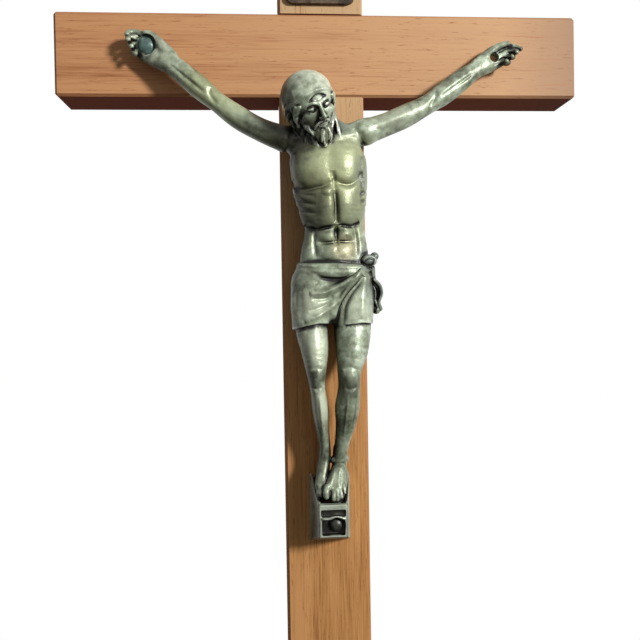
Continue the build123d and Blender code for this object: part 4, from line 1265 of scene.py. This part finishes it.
hair = Clay()
hair.add(egg((0, -0.7, 1.75), (5.9, 6.2, 5.5)), 0)
hair.cut(egg((0, 8.2, -1.6), (4.3, 5.6, 5.4)), 0.25)
hair.add(egg((0, -2.6, -3.0), (4.7, 3.4, 5.6)), 0.8)
hair.steps.append(("press", Form(cap_waves, (-7, -8, -9), (7, 3.4, 5.6)), 0))
for side in (-1, 1):
    hair.add(limb([
        (0, 4.95, 3.7, 0.4, 0.4), (side * 2.4, 4.5, 3.2, 0.42, 0.42), (side * 4.4, 3.1, 2.0, 0.5, 0.5),
        (side * 5.5, 0.6, 1.0, 0.6, 0.6),
    ]), 0.2)
    put_on(hair, lock([
        (side * 4.2, 3.0, 1.0), (side * 4.8, 1.8, -1.2), (side * 4.4, 1.2, -4.0),
    ], 1.0, 4), 0.12)
    put_on(hair, lock([
        (side * 4.8, -0.4, 1.6), (side * 5.2, -0.8, -1.6), (side * 4.2, -1.4, -5.0),
    ], 1.2, 4), 0.15)
print("hair:", len(hair.steps), "steps")

# %% [markdown]
# The beard is two points of locks over a solid core, with a moustache.

# %% The beard
beard = Clay()
beard.add(egg((0, 3.2, -6.0), (2.6, 2.1, 2.5)), 0)
beard.add(limb([(0, 3.6, -7.0, 1.9, 1.6), (0.1, 3.5, -9.0, 1.2, 1.0), (0.1, 3.3, -10.4, 0.5, 0.5)]), 0.4)
for side in (-1, 1):
    put_on(beard, lock([
        (side * 3.5, 2.0, -1.8), (side * 3.1, 2.9, -4.2), (side * 1.9, 3.9, -6.4),
        (side * 0.9, 4.2, -8.6),
    ], 0.85, 4), 0.1)
    put_on(beard, lock([
        (side * 0.35, 5.35, -3.05), (side * 1.4, 4.9, -3.6), (side * 2.1, 4.1, -4.9),
    ], 0.5, 3), 0.1)
    put_on(beard, lock([
        (side * 0.5, 4.7, -5.3), (side * 1.0, 4.9, -7.2), (side * 0.55, 4.5, -9.6),
    ], 0.72, 3), 0.1)
print("beard:", len(beard.steps), "steps")

# %% [markdown]
# The three lumps go to their place. The long locks lie on the shoulders, so these are in the
# figure's frame.

# %% The head in its place
head = Clay()
head.add(set_in_place(face, (-6, -8, -9), (6, 8, 8)), 0)
head.add(set_in_place(beard, (-5, -1, -12), (5, 7, 0)), 0.25)
head.add(set_in_place(hair, (-8, -8, -10), (8, 7, 9)), 0.15)
put_on(head, lock([(-8.2, 11.4, -14.6), (-8.1, 10.8, -16.6), (-7.0, 10.2, -18.8)], 1.5, 5), 0.15)
put_on(head, lock([
    (-6.4, 10.6, -16.5), (-5.8, 9.6, -19.8), (-4.8, 9.3, -22.6), (-3.4, 9.9, -25.6),
], 1.7, 5), 0.15)
put_on(head, lock([(-3.8, 10.4, -19.0), (-3.2, 10.6, -22.0), (-1.8, 10.9, -25.0)], 1.4, 4), 0.15)
put_on(head, lock([
    (1.2, 11.0, -15.4), (1.9, 10.8, -18.4), (2.8, 10.4, -20.8), (3.5, 10.3, -23.0),
], 0.85, 4), 0.3)
print("head:", len(head.steps), "steps")

# %% [markdown]
# ## The bracket
# A block that narrows towards the front, cast with the figure. The feet stand in a shallow tray
# with a rim, and the front has a sunk panel with an arch over the nail head. Each face is a plane,
# so its distance is one line of arithmetic, and a soft maximum rounds the cast edges.

# %% Planes of the bracket
BRACKET_X = 0.4
BRACKET_REACH = 11.4
BRACKET_BACK = {"half": 5.15, "top": -104.2, "foot": -121.0}
BRACKET_FRONT = {"half": 3.45, "top": -109.1, "foot": -117.0}
BRACKET_RIM = 0.8
TRAY_DEPTH = 0.9
NAIL_SEAT = 9.6
foot_nail_low, foot_nail_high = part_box("foot_nail")
FOOT_NAIL = [MM / 2 * (foot_nail_low[axis] + foot_nail_high[axis]) for axis in (0, 2)]
FOOT_NAIL_RADIUS = MM / 2 * (foot_nail_high[0] - foot_nail_low[0])


def narrowing(key, stand):
    share = np.clip(stand / BRACKET_REACH, 0, 1)
    return BRACKET_BACK[key] + share * (BRACKET_FRONT[key] - BRACKET_BACK[key])


def both(a, b, fillet=0.35):
    """Inside two distances at once, with a rounded edge between them."""
    return -blended(-a, -b, fillet)


def block_distance(p):
    across = np.abs(p[:, 0] - BRACKET_X) - narrowing("half", p[:, 1])
    over = (p[:, 2] - narrowing("top", p[:, 1])) * 0.92
    under = (narrowing("foot", p[:, 1]) - p[:, 2]) * 0.94
    return both(both(across, both(over, under)), p[:, 1] - BRACKET_REACH)


def tray_distance(p):
    across = np.abs(p[:, 0] - BRACKET_X) - narrowing("half", p[:, 1]) + BRACKET_RIM
    above = (narrowing("top", p[:, 1]) - TRAY_DEPTH - p[:, 2]) * 0.92
    return both(both(across, above), p[:, 1] - BRACKET_REACH + BRACKET_RIM)


def panel_distance(p):
    """The hollow round the nail head: a low box with an arched top."""
    across = np.abs(p[:, 0] - BRACKET_X) - 2.7
    high = np.abs(p[:, 2] - (FOOT_NAIL[1] - 0.3)) - 1.9
    arch = np.hypot(p[:, 0] - FOOT_NAIL[0], p[:, 2] - FOOT_NAIL[1]) - FOOT_NAIL_RADIUS - 0.3
    return both(blended(both(across, high), arch, 0.3), NAIL_SEAT - p[:, 1], 0.2)


def ledge_distance(p):
    """The shallow band between the rim and the arch."""
    across = np.abs(p[:, 0] - BRACKET_X) - 2.9
    high = np.abs(p[:, 2] + 111.2) - 0.75
    return both(both(across, high, 0.3), BRACKET_REACH - 0.55 - p[:, 1], 0.3)

print("the nail of the bracket is at", FOOT_NAIL)

# %% [markdown]
# The block gets its tray, its ledge, its panel and the arch over the nail head.

# %% The bracket
bracket = Clay()
block_box = ((-5.5, -0.5, -121.5), (6.5, 12.5, -103.5))
bracket.add(Form(block_distance, *block_box), 0)
bracket.cut(Form(tray_distance, (-5.5, -0.5, -111.5), (6.5, 12.5, -100)), 0.2)
bracket.cut(Form(ledge_distance, (-3.5, 10, -113), (4.5, 13, -109.5)), 0.2)
bracket.cut(Form(panel_distance, (-4, 9, -118), (5, 13, -110)), 0.15)
arch_line = [
    (BRACKET_X - 3.0, -112.4), (FOOT_NAIL[0] - 1.7, -112.5), (FOOT_NAIL[0], -111.9),
    (FOOT_NAIL[0] + 1.7, -112.5), (BRACKET_X + 3.0, -112.6),
]
bracket.press(arch_line, 0.28, -0.28, front=9.0, taper=0.1)

print("bracket:", len(bracket.steps), "steps")

# %% [markdown]
# ## One casting
# The groups are joined with small fillets, the back is cut flat, and the palms get their holes. The
# field is turned into a mesh on a fine grid, each vertex is settled on to the true skin, and
# Decimate keeps the triangles where the form bends most. Two attributes are then read from the
# field and stored on the mesh: how hollow and how proud each spot is. The patina uses both.

# %% The casting's field
WOOD_FRONT = -12.5
BACK_CLEARANCE = 0.3
CONTACT = 0.02  # the bracket alone touches the wood
HAND_NAIL = (-42.1, 0.7)
EMPTY_HOLE = (42.7, -1.5)
PALM_HOLE_RADIUS = 1.1
PALM_SEAT = 4.0
PALM_SEAT_RADIUS = 2.35
GROUPS = [
    (torso, 0), (legs, 0.3), (hands, 0.5), (feet, 0.3), (over, 0.12), (
        cloth, 0.12,
    ), (knot, 0.12), (head, 0.3),
]


def casting(points, band):
    d = np.full(len(points), FAR)
    for clay, fillet in GROUPS:
        d = blended(d, clay.distance(points, band), fillet)
    d = np.maximum(d, BACK_CLEARANCE - points[:, 1])
    d = blended(d, bracket.distance(points, band), 0.12)
    for hole in (HAND_NAIL, EMPTY_HOLE):
        round_hole = np.hypot(points[:, 0] - hole[0], points[:, 2] - hole[1]) - PALM_HOLE_RADIUS
        d = hollowed(d, round_hole, 0.2)
    seat = np.hypot(points[:, 0] - HAND_NAIL[0], points[:, 2] - HAND_NAIL[1]) - PALM_SEAT_RADIUS
    d = hollowed(d, np.maximum(seat, PALM_SEAT - points[:, 1]), 0.1)
    return np.maximum(d, CONTACT - points[:, 1])


print(len(GROUPS), "groups and the bracket")

# %% [markdown]
# ## Wire and studs
# What follows a path or repeats is made with Geometry Nodes. The first tree bends a round wire
# along a closed line of points: the hanging ring. The second sets a domed stud with its shank on
# each point: the pins of the strap and the nails of the plaque. Sizes and places come from the CAD
# boxes. Each result is turned into a plain mesh, and the modifier is taken off again.

# %% A tree for wire
def new_tree(name, wanted):
    """A Geometry Nodes tree with named inputs; gives it, its inputs and its add function."""
    tree = bpy.data.node_groups.new(name, "GeometryNodeTree")
    tree.interface.new_socket("Geometry", in_out="INPUT", socket_type="NodeSocketGeometry")
    for label, kind in wanted.items():
        tree.interface.new_socket(label, in_out="INPUT", socket_type="NodeSocket" + kind)
    tree.interface.new_socket("Geometry", in_out="OUTPUT", socket_type="NodeSocketGeometry")
    add = partial(add_node, tree)
    return tree, add("NodeGroupInput", out=None).outputs, add


def ending(add, geometry, material):
    """Real geometry with its material goes to the tree's output."""
    real = add("GeometryNodeRealizeInstances", {"Geometry": geometry})
    coated = add("GeometryNodeSetMaterial", {"Geometry": real, "Material": material})
    add("NodeGroupOutput", {"Geometry": coated}, None)


wire_inputs = {"Wire radius": "Float", "Sides": "Int", "Material": "Material"}
wire_tree, given, add = new_tree("wire_along_path", wire_inputs)
line = add("GeometryNodeMeshToCurve", {"Mesh": given["Geometry"]})
section_inputs = {"Resolution": given["Sides"], "Radius": given["Wire radius"]}
section = add("GeometryNodeCurvePrimitiveCircle", section_inputs)
wire = add("GeometryNodeCurveToMesh", {"Curve": line, "Profile Curve": section})
ending(add, wire, given["Material"])
print("wire_along_path:", len(wire_tree.nodes), "nodes")

# %% [markdown]
# The head of a stud is a ball whose back half is pressed flat: a dome with a flat seat. The shank
# is a cylinder that hangs below the seat.

# %% A tree for studs
stud_tree, given, add = new_tree("studs_on_points", {
    "Head radius": "Float", "Crown": "Float", "Shank radius": "Float", "Shank length": "Float",
    "Turn": "Rotation", "Material": "Material",
})
ball = add("GeometryNodeMeshUVSphere", {"Segments": 32, "Rings": 16, "Radius": 1.0})
spot = add("ShaderNodeSeparateXYZ", {0: add("GeometryNodeInputPosition")}, None).outputs
upper = add("ShaderNodeMath", {0: spot["Z"], 1: 0.0}, operation="MAXIMUM")
spans = ((spot["X"], "Head radius"), (spot["Y"], "Head radius"), (upper, "Crown"))
scaled = [
    add("ShaderNodeMath", {0: part, 1: given[span]}, operation="MULTIPLY") for part, span in spans
]
pressed = add("ShaderNodeCombineXYZ", dict(enumerate(scaled)))
dome = add("GeometryNodeSetPosition", {"Geometry": ball, "Position": pressed})
dome = add("GeometryNodeSetShadeSmooth", {"Geometry": dome})
shank = add("GeometryNodeMeshCylinder", {
    "Vertices": 24, "Radius": given["Shank radius"], "Depth": given["Shank length"],
})
half_down = add("ShaderNodeMath", {0: given["Shank length"], 1: -0.5}, operation="MULTIPLY")
drop = add("ShaderNodeCombineXYZ", {2: half_down})
shank = add("GeometryNodeTransform", {"Geometry": shank, "Translation": drop})
stud = add("GeometryNodeJoinGeometry", {"Geometry": dome}, None)
stud_tree.links.new(shank, stud.inputs["Geometry"])
spread = {"Points": given["Geometry"], "Instance": stud.outputs[0], "Rotation": given["Turn"]}
ending(add, add("GeometryNodeInstanceOnPoints", spread), given["Material"])
print("studs_on_points:", len(stud_tree.nodes), "nodes")

# %% [markdown]
# The ring is a D: a straight bar that turns in the strap, two rounded corners and a bow.

# %% The ring
RING_CORNER = 1.6 / MM
WIRE_SIDES = 20


def grown(name, tree, points, edges, values):
    """A plain mesh object: the tree's result on these points and edges."""
    seed = bpy.data.meshes.new(name)
    seed.from_pydata(points, edges, [])
    made = bpy.data.objects.new(name, seed)
    scene.collection.objects.link(made)
    modifier = made.modifiers.new(name, "NODES")
    modifier.node_group = tree
    for item in tree.interface.items_tree:
        if item.in_out == "INPUT" and item.name in values:
            modifier[item.identifier] = values[item.name]
    made.update_tag()
    depsgraph = bpy.context.evaluated_depsgraph_get()
    depsgraph.update()
    plain = bpy.data.meshes.new_from_object(made.evaluated_get(depsgraph))
    made.modifiers.remove(modifier)
    made.data = plain
    return made


def takes_over(made, node_name, body):
    """The made object stands for the CAD node, whose part is hidden, and rides on its body."""
    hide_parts(node_name)
    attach(made, body)
    print(node_name, "becomes", len(made.data.polygons), "faces")


low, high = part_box("hanger_ring")
wire_radius = (high[1] - low[1]) / 2
bow = (high[0] - low[0]) / 2 - wire_radius
bar_height = high[2] - wire_radius
bow_height = low[2] + wire_radius + bow
middle_y = (low[1] + high[1]) / 2


def arc_points(centre_x, centre_z, radius, start, end, steps):
    turns = [math.radians(start + (end - start) * k / steps) for k in range(steps + 1)]
    return [
        (centre_x + radius * math.cos(turn), middle_y, centre_z + radius * math.sin(turn))
        for turn in turns
    ]


path_points = [
    *arc_points(bow - RING_CORNER, bar_height - RING_CORNER, RING_CORNER, 90, 0, 10),
    *arc_points(0.0, bow_height, bow, 0, -180, 48),
    *arc_points(RING_CORNER - bow, bar_height - RING_CORNER, RING_CORNER, 180, 90, 10),
]
path_edges = [(k, (k + 1) % len(path_points)) for k in range(len(path_points))]
ring = grown("hanger_ring_wire", wire_tree, path_points, path_edges, {
    "Wire radius": wire_radius, "Sides": WIRE_SIDES, "Material": brass,
})
ring.data.polygons.foreach_set("use_smooth", [True] * len(ring.data.polygons))
takes_over(ring, "hanger_ring", "ring")

# %% [markdown]
# The pins hold the strap from behind, the small nails hold the plaque from the front.

# %% Pins and small nails
PIN_CROWN, PIN_SHANK = 0.3 / MM, 0.5 / MM
SMALL_CROWN, SMALL_SHANK = 0.5 / MM, 0.45 / MM
QUARTER_TURN = math.pi / 2

low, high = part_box("hanger_pins")
head_radius = (high[0] - low[0]) / 2
seat = high[1] - PIN_CROWN
places = [(0.0, seat, z) for z in (high[2] - head_radius, low[2] + head_radius)]
pins = grown("hanger_pin_studs", stud_tree, places, [], {
    "Head radius": head_radius, "Crown": PIN_CROWN, "Shank radius": PIN_SHANK,
    "Shank length": seat - low[1], "Turn": (-QUARTER_TURN, 0.0, 0.0), "Material": brass,
})
takes_over(pins, "hanger_pins", "cross")

low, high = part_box("titulus_nails")
head_radius = (high[2] - low[2]) / 2
seat = low[1] + SMALL_CROWN
middle = (low[2] + high[2]) / 2
places = [(x, seat, middle) for x in (low[0] + head_radius, high[0] - head_radius)]
small = grown("titulus_nail_studs", stud_tree, places, [], {
    "Head radius": head_radius, "Crown": SMALL_CROWN, "Shank radius": SMALL_SHANK,
    "Shank length": high[1] - seat, "Turn": (QUARTER_TURN, 0.0, 0.0), "Material": nail_bronze,
})
takes_over(small, "titulus_nails", "cross")

# %% [markdown]
# ## From the field to the casting
# The mesh comes out of the field in millimetres and goes into the frame in metres.

# %% The casting as a mesh
STEP = 0.17
FIGURE_LOW = (-51.0, -0.4, -122.5)
FIGURE_HIGH = (53.0, 21.5, 7.0)


def to_metres(points):
    """Figure millimetres (x, stand, z) to the frame's metres."""
    return np.stack([points[:, 0], WOOD_FRONT - points[:, 1], points[:, 2]], 1) / MM


vertices, quads = skin(casting, FIGURE_LOW, FIGURE_HIGH, STEP)
vertices = settled(casting, vertices, STEP)
mesh = bpy.data.meshes.new("cast_figure")
mesh.from_pydata(to_metres(vertices), [], quads)
mesh.update()
figure = bpy.data.objects.new("cast_figure", mesh)
scene.collection.objects.link(figure)
print("skin:", len(vertices), "vertices")

# %% [markdown]
# Only the one large closed skin is kept. Where the band of cells was too narrow it left pinholes,
# and each is closed with a face. Then the faces are turned outwards.

# %% One closed skin
def islands_of(work):
    """The groups of vertices that edges join, the largest last."""
    seen, islands = set(), []
    for start in work.verts:
        if start.index in seen:
            continue
        island, ends = [], [start]
        seen.add(start.index)
        while ends:
            vert = ends.pop()
            island.append(vert)
            for edge in vert.link_edges:
                other = edge.other_vert(vert)
                if other.index not in seen:
                    seen.add(other.index)
                    ends.append(other)
        islands.append(island)
    return sorted(islands, key=len)


work = bmesh.new()
work.from_mesh(mesh)
work.verts.ensure_lookup_table()
islands = islands_of(work)
for island in islands[:-1]:
    bmesh.ops.delete(work, geom=island, context="VERTS")
rims = [edge for edge in work.edges if len(edge.link_faces) < 2]
print("islands dropped:", len(islands) - 1, "edges round pinholes:", len(rims))
bmesh.ops.holes_fill(work, edges=rims, sides=0)
bmesh.ops.recalc_face_normals(work, faces=work.faces)
faces_at_edges = [len(edge.link_faces) for edge in work.edges]
print("open edges:", sum(count < 2 for count in faces_at_edges))
print("edges where two folds touch:", sum(count > 2 for count in faces_at_edges))
work.to_mesh(mesh)
work.free()

# %% [markdown]
# Decimate keeps the triangles where the form bends most.

# %% Fewer triangles
TRIANGLES = 190000

triangles = 2 * len(mesh.polygons)
if triangles > TRIANGLES:
    thin = figure.modifiers.new("thin", "DECIMATE")
    thin.ratio = TRIANGLES / triangles
    depsgraph = bpy.context.evaluated_depsgraph_get()
    mesh = bpy.data.meshes.new_from_object(figure.evaluated_get(depsgraph))
    figure.modifiers.remove(thin)
    figure.data = mesh
mesh.polygons.foreach_set("use_smooth", [True] * len(mesh.polygons))
print("figure:", len(mesh.polygons), "faces")

# %% [markdown]
# The field is asked a little way out from each vertex and a little way in. Where the way out soon
# meets metal again the spot is hollow, and where the way in soon leaves the metal it is proud.

# %% Hollow and proud
HOLLOW_LOOKS = ((0.45, 0.45), (1.1, 0.35), (2.4, 0.2))  # millimetres out, and its share
PROUD_LOOK = 0.5                                        # millimetres in
LOOK_BAND = 1.0


def read_all(items, name):
    """One vector for each item of a mesh, as rows."""
    values = np.empty(len(items) * 3, np.float32)
    items.foreach_get(name, values)
    return values.reshape(-1, 3).astype(float)


def shading_of(mesh):
    """How hollow and how proud the field is round each vertex, from 0 to 1."""
    place = read_all(mesh.vertices, "co") * MM
    points = np.stack([place[:, 0], WOOD_FRONT - place[:, 1], place[:, 2]], 1)
    normal = read_all(mesh.vertex_normals, "vector") * (1, -1, 1)
    hollow = np.zeros(len(points))
    for reach, weight in HOLLOW_LOOKS:
        gap = casting(points + normal * reach, LOOK_BAND)
        hollow += weight * np.clip(1 - gap / reach, 0, 1)
    depth = casting(points - normal * PROUD_LOOK, LOOK_BAND)
    return hollow, np.clip(1 + depth / PROUD_LOOK, 0, 1)


def stored(mesh, name, values):
    layer = mesh.attributes.new(name, "FLOAT", "POINT")
    layer.data.foreach_set("value", values.astype(np.float32))
    print(name, "on average", values.mean().round(3))


hollow, proud = shading_of(mesh)
stored(mesh, "hollow", hollow)
stored(mesh, "proud", proud)
mesh.materials.clear()
mesh.materials.append(bronze)
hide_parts("corpus")
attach(figure, "cross")
